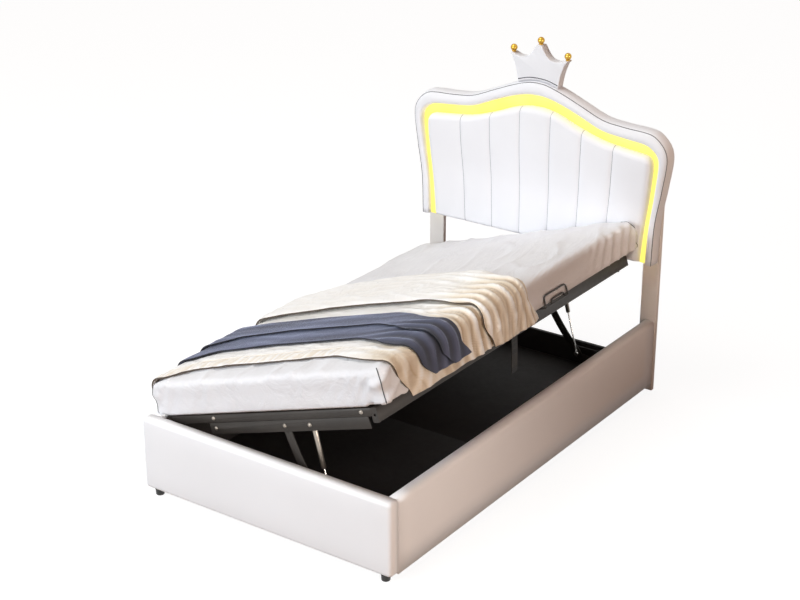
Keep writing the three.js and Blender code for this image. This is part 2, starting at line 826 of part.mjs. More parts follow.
// The gland where the light's lead enters the back of the headboard.
function lightInlet() {
  const profile = [
    [0, 0], [inletRadius, 0], [inletRadius, inletHeight * 0.3], [inletRadius * 0.6, inletHeight * 0.4],
    [inletRadius * 0.5, inletHeight], [0, inletHeight],
  ];
  const points = profile.map(([radius, height]) => new THREE.Vector2(radius, height));
  return new THREE.LatheGeometry(points, smallSides)
    .translate(headHalfWidth * inletAcrossShare, headBackY + backPanelThickness + fitGap, inletZ);
}

// The bracket on the left rail that holds the platform's hinge pin.
function hingeBracket() {
  const faceX = -railInnerX + fitGap;
  const plateEnd = hingePlateY + hingePlateSheet;
  const low = hingeZ - hingePlateHeight;
  const high = hingeZ - hingeFlangeDrop;
  const flange = block([faceX, railStartY + fitGap, low], [faceX + bracketSheet, plateEnd, high]);
  const plate = outline([
    [faceX, low], [hingeX + hingePlateRadius, low],
    ...arcPoints(hingeX, hingeZ, hingePlateRadius, 0, Math.PI, 2 * arcSteps),
    [faceX, high - bracketSheet],
  ]);
  const pin = barAlongY(hingeX, hingeZ, plateEnd - fitGap, plateEnd + hingePinReach, hingePinRadius,
    roundSides);
  const bolts = [0.25, 0.7].map((share) => boltHeadX(faceX + bracketSheet,
    (railStartY + hingePlateY) / 2, low + (high - low) * share, -1));
  return joined([flange, alongY(plate, hingePlateY, plateEnd), pin, ...bolts]);
}

// The angle on the right rail that the frame rests on when it is closed.
function closingRest() {
  const faceX = railInnerX - fitGap;
  const top = tubeTop - sideTubeHeight - fitGap;
  const inner = rightTubeX - tubeWidth / 2;
  const section = outline([
    [faceX, top - restDrop], [faceX, top], [inner, top], [inner, top - restSheet],
    [faceX - restSheet, top - restSheet], [faceX - restSheet, top - restDrop],
  ]);
  const bolts = [0.25, 0.75].map((share) => boltHeadX(faceX - restSheet, restY + restLength * share,
    top - restDrop / 2, 1));
  return joined([alongY(section, restY, restY + restLength), ...bolts]);
}

// A rectangular steel tube's section, open in the middle.
function tubeSection(centreX, low, high) {
  const half = tubeWidth / 2;
  const section = roundedRectangle([centreX - half, low], [centreX + half, high], tubeCorner, tubeCorner, 2);
  const inside = roundedPoints([centreX - half + tubeWall, low + tubeWall],
    [centreX + half - tubeWall, high - tubeWall], tubeCorner - tubeWall, tubeCorner - tubeWall, 2);
  section.holes.push(hole(inside));
  return section;
}

// A side tube of the platform with an end plate in each end and a round hole in each plate.
function sideTube(centreX, holeZ, holeRadius) {
  const low = tubeTop - sideTubeHeight;
  const tube = alongY(tubeSection(centreX, low, tubeTop), frameFrontY, frameEndY);
  const half = tubeWidth / 2 - tubeWall / 2;
  const plates = [frameFrontY + fitGap, frameEndY - fitGap - tubeEndPlate].map((start) => block(
    [centreX - half, start, low + tubeWall / 2], [centreX + half, start + tubeEndPlate,
      tubeTop - tubeWall / 2]));
  const bores = [frameFrontY, frameEndY].map((end) => barAlongY(centreX, holeZ, end - 2 * cutOverrun,
    end + 2 * cutOverrun, holeRadius, roundSides));
  return joined([tube, ...plates], bores);
}

// A tube across one end of the platform, with its bolt heads.
function endTube() {
  const start = leftTubeX + tubeWidth / 2 + fitGap;
  const end = rightTubeX - tubeWidth / 2 - fitGap;
  const low = tubeTop - endTubeHeight;
  const section = roundedRectangle([frameFrontY, low], [frameFrontY + tubeWidth, tubeTop], tubeCorner,
    tubeCorner, 2);
  const corner = tubeCorner - tubeWall;
  const inside = roundedPoints([frameFrontY + tubeWall, low + tubeWall],
    [frameFrontY + tubeWidth - tubeWall, tubeTop - tubeWall], corner, corner, 2);
  section.holes.push(hole(inside));
  const heads = frameBoltXs.map((x) => boltHeadY(x, low + endTubeHeight * 0.56, frameFrontY));
  return joined([alongX(section, start, end), ...heads]);
}

// The tube down the middle of the platform, between the end tubes.
function centreTube() {
  const low = tubeTop - endTubeHeight;
  const start = frameFrontY + tubeWidth + fitGap;
  return alongY(tubeSection(centreTubeX, low, tubeTop), start, 2 * middleY - start);
}

// A stud along Y with a nut on its far end.
function stud(x, z, start, end) {
  const bar = barAlongY(x, z, start, end + studNutHeight, studRadius);
  const nut = barAlongY(x, z, end, end + studNutHeight, studNutRadius, 6);
  return joined([bar, nut]);
}

// The angle bar under an end tube that carries the stay and the gas strut.
function liftBar() {
  const top = tubeTop - endTubeHeight - fitGap;
  const section = outline([
    [liftPlateY, top - liftBarHeight], [liftPlateY + liftBarSheet, top - liftBarHeight],
    [liftPlateY + liftBarSheet, top - restSheet], [liftPlateY + liftBarDepth, top - restSheet],
    [liftPlateY + liftBarDepth, top], [liftPlateY, top],
  ]);
  const heads = [liftBoltX, stayPivotX, strutPivotX].map((x) => boltHeadY(x, pivotZ, liftPlateY));
  const strutEnd = strutY + strutEyeThickness + fitGap;
  const studs = [
    stud(stayPivotX, pivotZ, liftPlateY + fitGap, studEndY),
    stud(strutPivotX, pivotZ, liftPlateY + fitGap, strutEnd),
  ];
  return joined([alongX(section, liftBarLeft, liftBarRight), ...heads, ...studs]);
}

// A point of the platform's drawing turned open by an angle in degrees.
function turned(x, z, degrees) {
  const angle = THREE.MathUtils.degToRad(degrees);
  const across = x - hingeX;
  const up = z - hingeZ;
  return [hingeX + across * Math.cos(angle) - up * Math.sin(angle),
    hingeZ + across * Math.sin(angle) + up * Math.cos(angle)];
}

// The stay's length, and how far it is turned when the platform is open.
function stayFit() {
  const [x, z] = turned(stayPivotX, pivotZ, openTilt);
  const length = Math.hypot(linkPinX - x, linkPinZ - z);
  const turn = THREE.MathUtils.radToDeg(Math.atan2(z - linkPinZ, linkPinX - x));
  return { length, turn };
}

// Where the stay's lower pin is when the platform has closed by an angle in degrees.
function slotPoint(closedBy) {
  const { length, turn } = stayFit();
  const [x, z] = turned(stayPivotX, pivotZ, openTilt - closedBy);
  const angle = THREE.MathUtils.degToRad(turn + (1 + linkTurns) * closedBy);
  return [x + length * Math.cos(angle), z - length * Math.sin(angle)];
}

// The slot that the stay's pin runs in.
function slotHole() {
  const path = [];
  for (let i = 0; i <= slotSteps; i += 1) path.push(slotPoint(openTilt * i / slotSteps));
  const radius = pinRadius + boreClearance;
  const above = [];
  const below = [];
  path.forEach(([x, z], i) => {
    const [x0, z0] = path[Math.max(0, i - 1)];
    const [x1, z1] = path[Math.min(slotSteps, i + 1)];
    const size = Math.hypot(x1 - x0, z1 - z0);
    const across = [-(z1 - z0) / size * radius, (x1 - x0) / size * radius];
    above.push([x + across[0], z + across[1]]);
    below.push([x - across[0], z - across[1]]);
  });
  const cap = (centre, from) => {
    const points = [];
    const start = Math.atan2(from[1] - centre[1], from[0] - centre[0]);
    for (let i = 1; i < 6; i += 1) {
      const angle = start + Math.PI * i / 6;
      points.push([centre[0] + radius * Math.cos(angle), centre[1] + radius * Math.sin(angle)]);
    }
    return points;
  };
  const end = path[slotSteps];
  return [...below, ...cap(end, below[slotSteps]), ...above.reverse(), ...cap(path[0], above[slotSteps])];
}

// The bracket in the box that holds the slotted plate, open towards the middle of the bed.
function liftBase() {
  const backY = footboardThickness + fitGap;
  const plateEnd = slotPlateY + liftBaseSheet;
  const slot = slotHole();
  const left = Math.min(...slot.map(([x]) => x)) - slotMargin;
  const right = Math.max(...slot.map(([x]) => x)) + slotMargin;
  const shelfTop = Math.min(...slot.map(([, z]) => z)) - slotHeadroom;
  const high = Math.max(...slot.map(([, z]) => z)) + slotHeadroom;
  const shelfLow = shelfTop - liftBaseSheet;
  const low = shelfLow - liftBaseFlange;
  const back = block([left, backY, low], [right, backY + liftBaseSheet, high]);
  const shelf = block([left, backY, shelfLow], [right, plateEnd, shelfTop]);
  const face = roundedRectangle([left, shelfLow], [right, high], 0, liftBaseSheet);
  face.holes.push(hole(slot));
  const plate = alongY(face, slotPlateY, plateEnd);
  const bolts = [0.12, 0.88].map((share) => boltHeadY(0, 0, 0).rotateZ(Math.PI).translate(
    left + (right - left) * share, backY + liftBaseSheet, (low + shelfLow) / 2));
  return joined([back, shelf, plate, ...bolts]);
}

// The bowed stay, drawn along +X from its upper pivot, with the pin that runs in the slot.
function stay() {
  const { length } = stayFit();
  const half = linkWidth / 2;
  const steps = 10;
  const upper = [];
  const lower = [];
  for (let i = 0; i <= steps; i += 1) {
    const share = i / steps;
    const sag = -linkBow * Math.sin(Math.PI * share);
    const slope = -linkBow * Math.PI / length * Math.cos(Math.PI * share);
    const size = Math.hypot(1, slope);
    upper.push([length * share - slope / size * half, sag + half / size]);
    lower.push([length * share + slope / size * half, sag - half / size]);
  }
  const cap = (centreX, start) => {
    const points = [];
    for (let i = 1; i < 6; i += 1) {
      const angle = start + Math.PI * i / 6;
      points.push([centreX + half * Math.cos(angle), half * Math.sin(angle)]);
    }
    return points;
  };
  const tilt = Math.atan(linkBow * Math.PI / length);
  const shape = outline([...lower, ...cap(length, tilt - Math.PI / 2), ...upper.reverse(),
    ...cap(0, Math.PI / 2 - tilt)]);
  shape.holes.push(hole(circlePoints(0, 0, studRadius + boreClearance)));
  const plate = alongY(shape, linkY, linkY + linkThickness);
  const pin = barAlongY(length, 0, slotPlateY - boltHeadHeight, strutY - fitGap, pinRadius);
  const head = barAlongY(length, 0, slotPlateY - boltHeadHeight, slotPlateY - fitGap, boltHeadRadius);
  const collar = barAlongY(length, 0, slotPlateY + liftBaseSheet + fitGap, linkY + fitGap, boltHeadRadius);
  return joined([plate, pin, head, collar]);
}

// How far apart the gas strut's ends are when the platform is open, and how far it is turned.
function strutFit() {
  const [x, z] = turned(strutPivotX, pivotZ, openTilt);
  const length = Math.hypot(linkPinX - x, linkPinZ - z);
  const turn = THREE.MathUtils.radToDeg(Math.atan2(z - linkPinZ, linkPinX - x));
  return { length, turn };
}

// The gas strut's cylinder, drawn along +X from its eye.
function strutCylinder() {
  const middle = strutY + strutEyeThickness / 2;
  const eye = alongY(outline(circlePoints(0, 0, strutEyeRadius)), strutY, strutY + strutEyeThickness);
  const half = strutRadius;
  const profile = [
    [0, strutEyeRadius / 2], [strutNeckRadius, strutEyeRadius / 2], [strutNeckRadius, strutBodyStart],
    [half, strutBodyStart + strutNeckRadius / 2], [half, strutBodyEnd - strutNeckRadius / 2],
    [half - rodRadius / 2, strutBodyEnd], [0, strutBodyEnd],
  ];
  const points = profile.map(([radius, along]) => new THREE.Vector2(radius, along));
  const body = new THREE.LatheGeometry(points, smallSides).rotateZ(-Math.PI / 2).translate(0, middle, 0);
  const bore = barAlongY(0, 0, strutY - cutOverrun, strutY + strutEyeThickness + cutOverrun,
    studRadius + boreClearance);
  const { length } = strutFit();
  const shaft = new THREE.CylinderGeometry(rodRadius + boreClearance, rodRadius + boreClearance, length,
    smallSides).rotateZ(Math.PI / 2).translate(length / 2 + strutBodyStart + 2 * cutOverrun, middle, 0);
  return joined([eye, body], [bore, shaft]);
}

// The gas strut's rod, drawn in the same place, with the eye at its lower end.
function strutRod() {
  const middle = strutY + strutEyeThickness / 2;
  const { length } = strutFit();
  const inside = length - strutBodyEnd - strutEyeRadius;
  const start = strutBodyEnd - Math.min(inside, strutRadius * 4);
  const rod = new THREE.CylinderGeometry(rodRadius, rodRadius, length - start, smallSides)
    .rotateZ(Math.PI / 2).translate((length + start) / 2, middle, 0);
  const neck = new THREE.CylinderGeometry(strutNeckRadius, strutNeckRadius, strutEyeRadius * 2, smallSides)
    .rotateZ(Math.PI / 2).translate(length - strutEyeRadius, middle, 0);
  const eye = alongY(outline(circlePoints(length, 0, strutEyeRadius)), strutY, strutY + strutEyeThickness);
  return joined([rod, neck, eye]);
}

// A bent wire through points at one distance from the middle, with rounded corners.
function wire(corners) {
  const path = new THREE.CurvePath();
  const points = corners.map(([y, z]) => new THREE.Vector3(wireX, y, z));
  let from = points[0];
  for (let i = 1; i + 1 < points.length; i += 1) {
    const back = points[i - 1].clone().sub(points[i]).setLength(wireCorner).add(points[i]);
    const ahead = points[i + 1].clone().sub(points[i]).setLength(wireCorner).add(points[i]);
    path.add(new THREE.LineCurve3(from, back));
    path.add(new THREE.QuadraticBezierCurve3(back, points[i], ahead));
    from = ahead;
  }
  path.add(new THREE.LineCurve3(from, points[points.length - 1]));
  return new THREE.ExtrudeGeometry(outline(circlePoints(0, 0, wireRadius, 8)), {
    steps: 24,
    extrudePath: path,
    bevelEnabled: false,
  });
}

// The wire loop beside the mattress, on two flat strips that pass over the rail.
function mattressRetainer() {
  const loop = wire([[wireStartY, wireFootZ], [wireStartY, wireFootZ + wireHeight],
    [wireEndY, wireFootZ + wireHeight], [wireEndY, wireFootZ]]);
  const small = wire([[innerWireStartY, wireFootZ], [innerWireStartY, wireFootZ + innerWireHeight],
    [innerWireEndY, wireFootZ + innerWireHeight], [innerWireEndY, wireFootZ]]);
  const foot = barAlongY(wireX, wireFootZ, wireStripStartY, wireStripEndY, wireRadius, 8);
  const low = tubeTop + fitGap;
  const high = boxTop + fitGap * 1.5;
  const start = rightTubeX - wireStripLap;
  const rise = railInnerX - wireStripRise;
  const over = railInnerX + wireStripOver;
  const section = outline([
    [start, low], [rise, low], [over, high], [wireX, high],
    [wireX, high + wireStripThickness], [over, high + wireStripThickness],
    [rise, low + wireStripThickness], [start, low + wireStripThickness],
  ]);
  const strips = [wireStripStartY, wireStripEndY].map((y) => alongY(section,
    y - wireStripWidth / 2, y + wireStripWidth / 2));
  return joined([loop, small, foot, ...strips]);
}

// A webbing strap that hangs from under the right tube, drawn down from its upper end.
function pullStrap() {
  const half = strapThickness / 2;
  const hem = strapLength - strapHem;
  const right = [
    [half, 0], [half + strapSway * 0.4, -strapLength * 0.3], [half + strapSway, -strapLength * 0.6],
    [half + strapSway + half, -hem], [half + strapSway + half, -strapLength + half],
    [strapSway, -strapLength],
  ];
  const left = [
    [strapSway - half, -strapLength + half], [strapSway - 2 * half, -hem],
    [strapSway - half, -strapLength * 0.6], [strapSway * 0.4 - half, -strapLength * 0.3], [-half, 0],
  ];
  const shape = outline([...right, ...left].reverse());
  return alongY(shape, strapY - strapWidth / 2, strapY + strapWidth / 2);
}

// A slat across the platform.
function slat(index) {
  const middle = frameFrontY + slatPitch * (index + 0.5);
  const section = roundedRectangle([middle - slatWidth / 2, tubeTop + fitGap],
    [middle + slatWidth / 2, tubeTop + fitGap + slatThickness], slatEdge, slatEdge, 2);
  return alongX(section, leftTubeX - slatOverhang, rightTubeX + slatOverhang);
}

// How far the mattress's top has risen at a distance in from its nearest edge.
function crownRise(inset) {
  const share = Math.min(1, Math.max(0, inset / mattressCrownReach));
  return mattressCrown * Math.sin(share * Math.PI / 2);
}

// A rounded rectangle as a ring of points at one height.
function mattressRing(inset, height) {
  const radius = Math.max(mattressCorner - inset, mattressCorner * 0.2);
  const points = [];
  const corners = [
    [mattressRight, mattressHeadY, 0], [mattressLeft, mattressHeadY, 1],
    [mattressLeft, mattressFootY, 2], [mattressRight, mattressFootY, 3],
  ];
  for (const [x, y, turn] of corners) {
    const signX = turn === 0 || turn === 3 ? 1 : -1;
    const signY = turn < 2 ? 1 : -1;
    const centreX = x - signX * (inset + radius);
    const centreY = y - signY * (inset + radius);
    for (let i = 0; i <= arcSteps; i += 1) {
      const angle = (turn + i / arcSteps) * Math.PI / 2;
      points.push([centreX + radius * Math.cos(angle), centreY + radius * Math.sin(angle), height]);
    }
    const [nextX, nextY] = corners[(turn + 1) % 4];
    const nextSignX = turn === 2 || turn === 3 ? 1 : -1;
    const nextSignY = turn === 3 || turn === 0 ? 1 : -1;
    const endX = nextX - nextSignX * (inset + radius) + radius * Math.cos((turn + 1) * Math.PI / 2);
    const endY = nextY - nextSignY * (inset + radius) + radius * Math.sin((turn + 1) * Math.PI / 2);
    const [startX, startY] = points[points.length - 1];
    for (let i = 1; i < mattressSteps; i += 1) {
      points.push([startX + (endX - startX) * i / mattressSteps, startY + (endY - startY) * i / mattressSteps,
        height]);
    }
  }
  return points;
}

// The mattress, with rounded edges, slightly hollow sides and a crowned top.
function mattress() {
  const rings = [];
  const quarter = [0, 0.25, 0.5, 0.75, 1];
  for (const share of quarter) {
    const angle = share * Math.PI / 2;
    rings.push(mattressRing(mattressBaseRadius * (1 - Math.sin(angle)),
      mattressBase + mattressBaseRadius * (1 - Math.cos(angle))));
  }
  const middleZ = (mattressBase + mattressBaseRadius + mattressTop - mattressTopRadius) / 2;
  rings.push(mattressRing(mattressDraw, middleZ));
  for (const share of quarter) {
    const angle = share * Math.PI / 2;
    const inset = mattressTopRadius * (1 - Math.cos(angle));
    rings.push(mattressRing(inset, mattressTop - mattressTopRadius * (1 - Math.sin(angle))
      + crownRise(inset) * share));
  }
  for (const share of [0.35, 0.6, 1]) {
    const inset = mattressTopRadius + (mattressCrownReach - mattressTopRadius) * share;
    rings.push(mattressRing(inset, mattressTop + crownRise(inset)));
  }
  return ringSolid(rings);
}

// A value between the entries of a table at a share of the way across the covers.
function between(shares, across) {
  let i = 0;
  while (i + 2 < acrossShares.length && across > acrossShares[i + 1]) i += 1;
  const part = (across - acrossShares[i]) / (acrossShares[i + 1] - acrossShares[i]);
  const smooth = part * part * (3 - 2 * part);
  return shares[i] + (shares[i + 1] - shares[i]) * smooth;
}

// The way over the mattress from a left hem to a right hem: points, outward directions and how far
// each point hangs below the mattress's edge.
function coverPath(leftHem, rightHem) {
  const path = [];
  const radius = mattressTopRadius;
  const shoulder = mattressTop - radius;
  for (const share of [0, 0.5]) {
    const z = leftHem + (shoulder - leftHem) * share;
    path.push({ x: mattressLeft, z, out: [-1, 0], hang: (shoulder - z) / (shoulder - rightHem), rise: 0 });
  }
  for (let i = 0; i <= arcSteps; i += 1) {
    const angle = Math.PI - i / arcSteps * Math.PI / 2;
    path.push({
      x: mattressLeft + radius + radius * Math.cos(angle), z: shoulder + radius * Math.sin(angle),
      out: [Math.cos(angle), Math.sin(angle)], hang: 0, rise: i / arcSteps,
    });
  }
  for (let i = 1; i < clothAcross; i += 1) {
    const x = mattressLeft + radius + (mattressRight - mattressLeft - 2 * radius) * i / clothAcross;
    path.push({ x, z: mattressTop, out: [0, 1], hang: 0, rise: 1 });
  }
  for (let i = arcSteps; i >= 0; i -= 1) {
    const angle = i / arcSteps * Math.PI / 2;
    path.push({
      x: mattressRight - radius + radius * Math.cos(angle), z: shoulder + radius * Math.sin(angle),
      out: [Math.cos(angle), Math.sin(angle)], hang: 0, rise: i / arcSteps,
    });
  }
  for (const share of [0.33, 0.66, 1]) {
    const z = shoulder + (rightHem - shoulder) * share;
    path.push({ x: mattressRight, z, out: [1, 0], hang: (shoulder - z) / (shoulder - rightHem), rise: 0 });
  }
  let length = 0;
  path.forEach((point, i) => {
    if (i > 0) length += Math.hypot(point.x - path[i - 1].x, point.z - path[i - 1].z);
    point.length = length;
  });
  for (const point of path) point.across = point.length / length;
  return path;
}

// A point of a cover at a distance out from the mattress.
function coverPoint(place, y, distance) {
  const sideInset = Math.min(place.x - mattressLeft, mattressRight - place.x);
  const endInset = Math.max(mattressTopRadius, Math.min(y - mattressFootY, mattressHeadY - y));
  const rise = crownRise(Math.min(sideInset, endInset)) * place.rise;
  return [place.x + place.out[0] * distance, y, place.z + rise + place.out[1] * distance];
}

// The quilt's outer face, measured out from the mattress.
function quiltOuter(place, y, foldPart) {
  const wave = Math.sin(y / mattressLength * 96 + 2.5 * Math.sin(place.x / mattressLength * 19));
  const cross = Math.sin(place.x / mattressLength * 62 + 1.8 * Math.sin(y / mattressLength * 30));
  const ripple = quiltRipple * (1 + wave * cross);
  return clothGap + quiltThickness + quiltFold * foldPart + ripple + quiltSway(place, y);
}

// How far the quilt's hanging side swings out at its folds.
function quiltSway(place, y) {
  return quiltHang * place.hang * (0.5 + 0.5 * Math.sin(y / mattressLength * 70));
}

// The rows of the quilt at one place across: shares of the mattress's length and the fold's part.
function quiltRows(across) {
  const foot = between(quiltFootShares, across);
  const throwFoot = between(throwFootShares, across);
  const throwHead = between(throwHeadShares, across);
  const fold = between(foldFootShares, across);
  const head = between(quiltHeadShares, across);
  const rows = [];
  const add = (start, end, steps, foldPart) => {
    for (let i = 0; i < steps; i += 1) rows.push({ share: start + (end - start) * i / steps, foldPart });
  };
  add(foot, throwFoot, 3, 0);
  add(throwFoot, throwHead, 6, 0);
  add(throwHead, fold, 3, 0);
  const step = (head - fold) * 0.03;
  add(fold + step, head - step, 5, 1);
  rows.push({ share: head - step, foldPart: 1 });
  rows.push({ share: head, foldPart: 0.4 });
  return rows;
}

// The quilt over the lower part of the mattress, its upper end turned back.
function quilt() {
  const path = coverPath(quiltLeftHem, quiltRightHem);
  const outer = [];
  const inner = [];
  path.forEach((place) => {
    const rows = quiltRows(place.across);
    outer.push(rows.map(({ share, foldPart }) => {
      const y = mattressFootY + share * mattressLength;
      return coverPoint(place, y, quiltOuter(place, y, foldPart));
    }));
    inner.push(rows.map(({ share }) => {
      const y = mattressFootY + share * mattressLength;
      return coverPoint(place, y, clothGap + quiltSway(place, y));
    }));
  });
  return sheetSolid(inner, outer);
}

// The folded throw across the quilt.
function throwCover() {
  const path = coverPath(quiltLeftHem, quiltRightHem).slice(1, -1);
  const outer = [];
  const inner = [];
  path.forEach((place) => {
    const rows = quiltRows(place.across).slice(3, 10);
    const distances = rows.map(({ share }, i) => {
      const y = mattressFootY + share * mattressLength;
      const layer = throwLayerShares[i] * throwLayer;
      const ripple = throwRipple * (1 + Math.sin(y / mattressLength * 130 + place.x / mattressLength * 40));
      return [y, quiltOuter(place, y, 0) + fitGap, throwThickness + layer + ripple + throwHang * place.hang];
    });
    outer.push(distances.map(([y, start, thickness]) => coverPoint(place, y, start + thickness)));
    inner.push(distances.map(([y, start]) => coverPoint(place, y, start)));
  });
  return sheetSolid(inner, outer);
}

// The box, the headboard and the fixed brackets.
function buildBox(root) {
  piece('footboard', footboard(), whiteCover, root);
  piece('side_rail_right', sideRail(), whiteCover, root);
  piece('side_rail_left', sideCopy(sideRail()), whiteCover, root);
  piece('head_end_board', headEndBoard(), blackLining, root);
  piece('floor_panel_foot', floorPanel(railStartY + fitGap, middleY - fitGap), blackLining, root);
  piece('floor_panel_head', floorPanel(middleY + fitGap, headBoardFrontY - 2 * fitGap), blackLining, root);
  piece('centre_bearer', centreBearer(), blackLining, root);
  centreFootShares.forEach((share, i) => piece(`centre_foot_${i + 1}`, foot(0, headBoardFrontY * share),
    blackPlastic, root));
  piece('foot_left', foot(-footX, footInsetY), blackPlastic, root);
  piece('foot_right', foot(footX, footInsetY), blackPlastic, root);
  piece('corner_bracket_right', cornerBracket(), blackSteel, root);
  piece('corner_bracket_left', sideCopy(cornerBracket()), blackSteel, root);
  piece('head_bracket_right', headBracket(), blackSteel, root);
  piece('head_bracket_left', sideCopy(headBracket()), blackSteel, root);
  piece('headboard_post_right', headboardPost(), whiteCover, root);
  piece('headboard_post_left', sideCopy(headboardPost()), whiteCover, root);
  piece('headboard_back', headboardBack(), blackLining, root);
  piece('headboard_border', headboardBorder(), whiteCover, root);
  piece('light_strip', lightStrip(), lightCover, root);
  piece('headboard_pad', headboardPad(), padCover, root);
  piece('light_inlet', lightInlet(), blackPlastic, root);
  piece('crown', crown(), whiteCover, root);
  piece('crown_ball_left', crownBall(-crownTipX, crownTipZ + fitGap), goldBall, root);
  piece('crown_ball_middle', crownBall(0, crownMidTipZ + fitGap), goldBall, root);
  piece('crown_ball_right', crownBall(crownTipX, crownTipZ + fitGap), goldBall, root);
  piece('lift_base_foot', liftBase(), blackSteel, root);
  piece('lift_base_head', headCopy(liftBase()), blackSteel, root);
  piece('hinge_bracket_foot', hingeBracket(), blackSteel, root);
  piece('hinge_bracket_head', headCopy(hingeBracket()), blackSteel, root);
  piece('closing_rest_foot', closingRest(), blackSteel, root);
  piece('closing_rest_head', headCopy(closingRest()), blackSteel, root);
}

// The frame that tilts, with its slats, the mattress and its covers.
function buildPlatform(platform) {
  piece('frame_tube_left', sideTube(leftTubeX, hingeZ, hingePinRadius + boreClearance), blackSteel, platform);
  piece('frame_tube_right', sideTube(rightTubeX, tubeTop - sideTubeHeight / 2, drainRadius), blackSteel,
    platform);
  piece('frame_tube_foot', endTube(), blackSteel, platform);
  piece('frame_tube_head', headCopy(endTube()), blackSteel, platform);
  piece('frame_tube_centre', centreTube(), blackSteel, platform);
  piece('lift_bar_foot', liftBar(), blackSteel, platform);
  piece('lift_bar_head', headCopy(liftBar()), blackSteel, platform);
  for (let i = 0; i < slatCount; i += 1) piece(`slat_${i + 1}`, slat(i), slatWood, platform);
  piece('mattress_retainer', mattressRetainer(), zincSteel, platform);
  piece('mattress', mattress(), sheetWhite, platform);
  piece('quilt', quilt(), creamSatin, platform);
  piece('throw', throwCover(), navyCloth, platform);
}

// A group inside the platform, turned about one of its points.
function pivotGroup(platform, x, z, degrees) {
  const group = new THREE.Group();
  group.position.set(x, 0, z);
  group.rotation.y = THREE.MathUtils.degToRad(degrees);
  platform.add(group);
  return group;
}

// The stays, the gas struts and the strap, which turn against the platform.
function buildLift(platform) {
  const stayGroup = pivotGroup(platform, stayPivotX, pivotZ, stayFit().turn + openTilt);
  piece('link_foot', stay(), blackSteel, stayGroup);
  piece('link_head', headCopy(stay()), blackSteel, stayGroup);
  const strutGroup = pivotGroup(platform, strutPivotX, pivotZ, strutFit().turn + openTilt);
  piece('strut_cylinder_foot', strutCylinder(), blackSteel, strutGroup);
  piece('strut_cylinder_head', headCopy(strutCylinder()), blackSteel, strutGroup);
  piece('strut_rod_foot', strutRod(), chromeSteel, strutGroup);
  piece('strut_rod_head', headCopy(strutRod()), chromeSteel, strutGroup);
  const strapTop = tubeTop - sideTubeHeight - 3 * fitGap;
  const strapGroup = pivotGroup(platform, strapX, strapTop, openTilt);
  piece('pull_strap', pullStrap(), blackLining, strapGroup);
}

// The whole bed, with its middle over the origin.
function bed() {
  const root = new THREE.Group();
  const shifted = new THREE.Group();
  shifted.position.y = -overallDepth / 2;
  root.add(shifted);
  const hinge = new THREE.Group();
  hinge.position.set(hingeX, 0, hingeZ);
  hinge.rotation.y = -THREE.MathUtils.degToRad(openTilt);
  const platform = new THREE.Group();
  platform.position.set(-hingeX, 0, -hingeZ);
  hinge.add(platform);
  shifted.add(hinge);
  buildBox(shifted);
  buildPlatform(platform);
  buildLift(platform);
  return root;
}

export default bed();
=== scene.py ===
# %% [markdown]
# # An ottoman bed with a lit headboard
# The bed is a padded box with a tall headboard. A steel frame with a mattress tilts up out of the
# box on gas struts. Its hard parts are already modelled, and this script loads them as a frame that
# never moves. The script then dresses the frame: it makes the padded and woven pieces afresh and
# gives every surface a finish of its own.

# %% Load the frame
import json
import math

import bmesh
import bpy
from mathutils import Matrix, Vector, noise
from mathutils.bvhtree import BVHTree


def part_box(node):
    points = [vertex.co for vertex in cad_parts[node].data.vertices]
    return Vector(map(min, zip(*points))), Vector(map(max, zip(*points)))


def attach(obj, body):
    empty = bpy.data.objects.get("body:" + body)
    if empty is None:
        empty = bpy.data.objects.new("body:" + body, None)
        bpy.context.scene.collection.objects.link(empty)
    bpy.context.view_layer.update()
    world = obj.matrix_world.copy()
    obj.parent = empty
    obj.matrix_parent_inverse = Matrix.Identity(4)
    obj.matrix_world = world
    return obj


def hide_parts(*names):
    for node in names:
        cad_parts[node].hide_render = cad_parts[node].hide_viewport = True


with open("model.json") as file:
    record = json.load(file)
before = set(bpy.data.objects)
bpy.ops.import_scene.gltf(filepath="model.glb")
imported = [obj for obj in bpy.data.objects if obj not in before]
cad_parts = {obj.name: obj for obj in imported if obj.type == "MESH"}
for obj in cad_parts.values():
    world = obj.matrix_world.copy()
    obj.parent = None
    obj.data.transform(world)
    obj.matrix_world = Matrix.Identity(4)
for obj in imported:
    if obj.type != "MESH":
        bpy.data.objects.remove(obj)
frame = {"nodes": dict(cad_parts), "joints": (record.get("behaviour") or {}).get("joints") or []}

scene = bpy.context.scene
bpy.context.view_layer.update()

# %% [markdown]
# ## The camera
# A photograph of a product is taken with a long lens, so that its edges stay nearly parallel. The
# camera goes in first, because every later choice is judged through it. It stands to the right of
# the foot end and looks down.

# %% Place the camera
def new_object(name, data):
    """An object of its own in the scene for a mesh, a curve, a lamp or a camera."""
    made = bpy.data.objects.new(name, data)
    scene.collection.objects.link(made)
    return made


camera_place = Vector((3.8883, -5.6067, 3.5432))
camera_turn, camera_rise = math.radians(35.277), math.radians(22.928)
away = Vector((math.sin(camera_turn), -math.cos(camera_turn), 0)) * math.cos(camera_rise)
away.z = math.sin(camera_rise)
camera = new_object("camera", bpy.data.cameras.new("camera"))
camera.data.lens = 78.70
camera.data.sensor_width = 36
camera.location = camera_place
camera.rotation_mode = "QUATERNION"
camera.rotation_quaternion = (-away).to_track_quat("-Z", "Y")
scene.camera = camera
scene.view_settings.view_transform = "Standard"
print("camera at", [round(v, 2) for v in camera_place])

# %% [markdown]
# ## The studio
# A white bed on a white ground needs a floor that catches a soft shadow and otherwise vanishes. The
# floor's material is white to the camera and a darker, warm surface to the light, so the picture's
# ground is almost white while the shadow stays and the light that it throws back is brown and weak.
# A world that shows white only to the camera and to reflections does the same for the background.

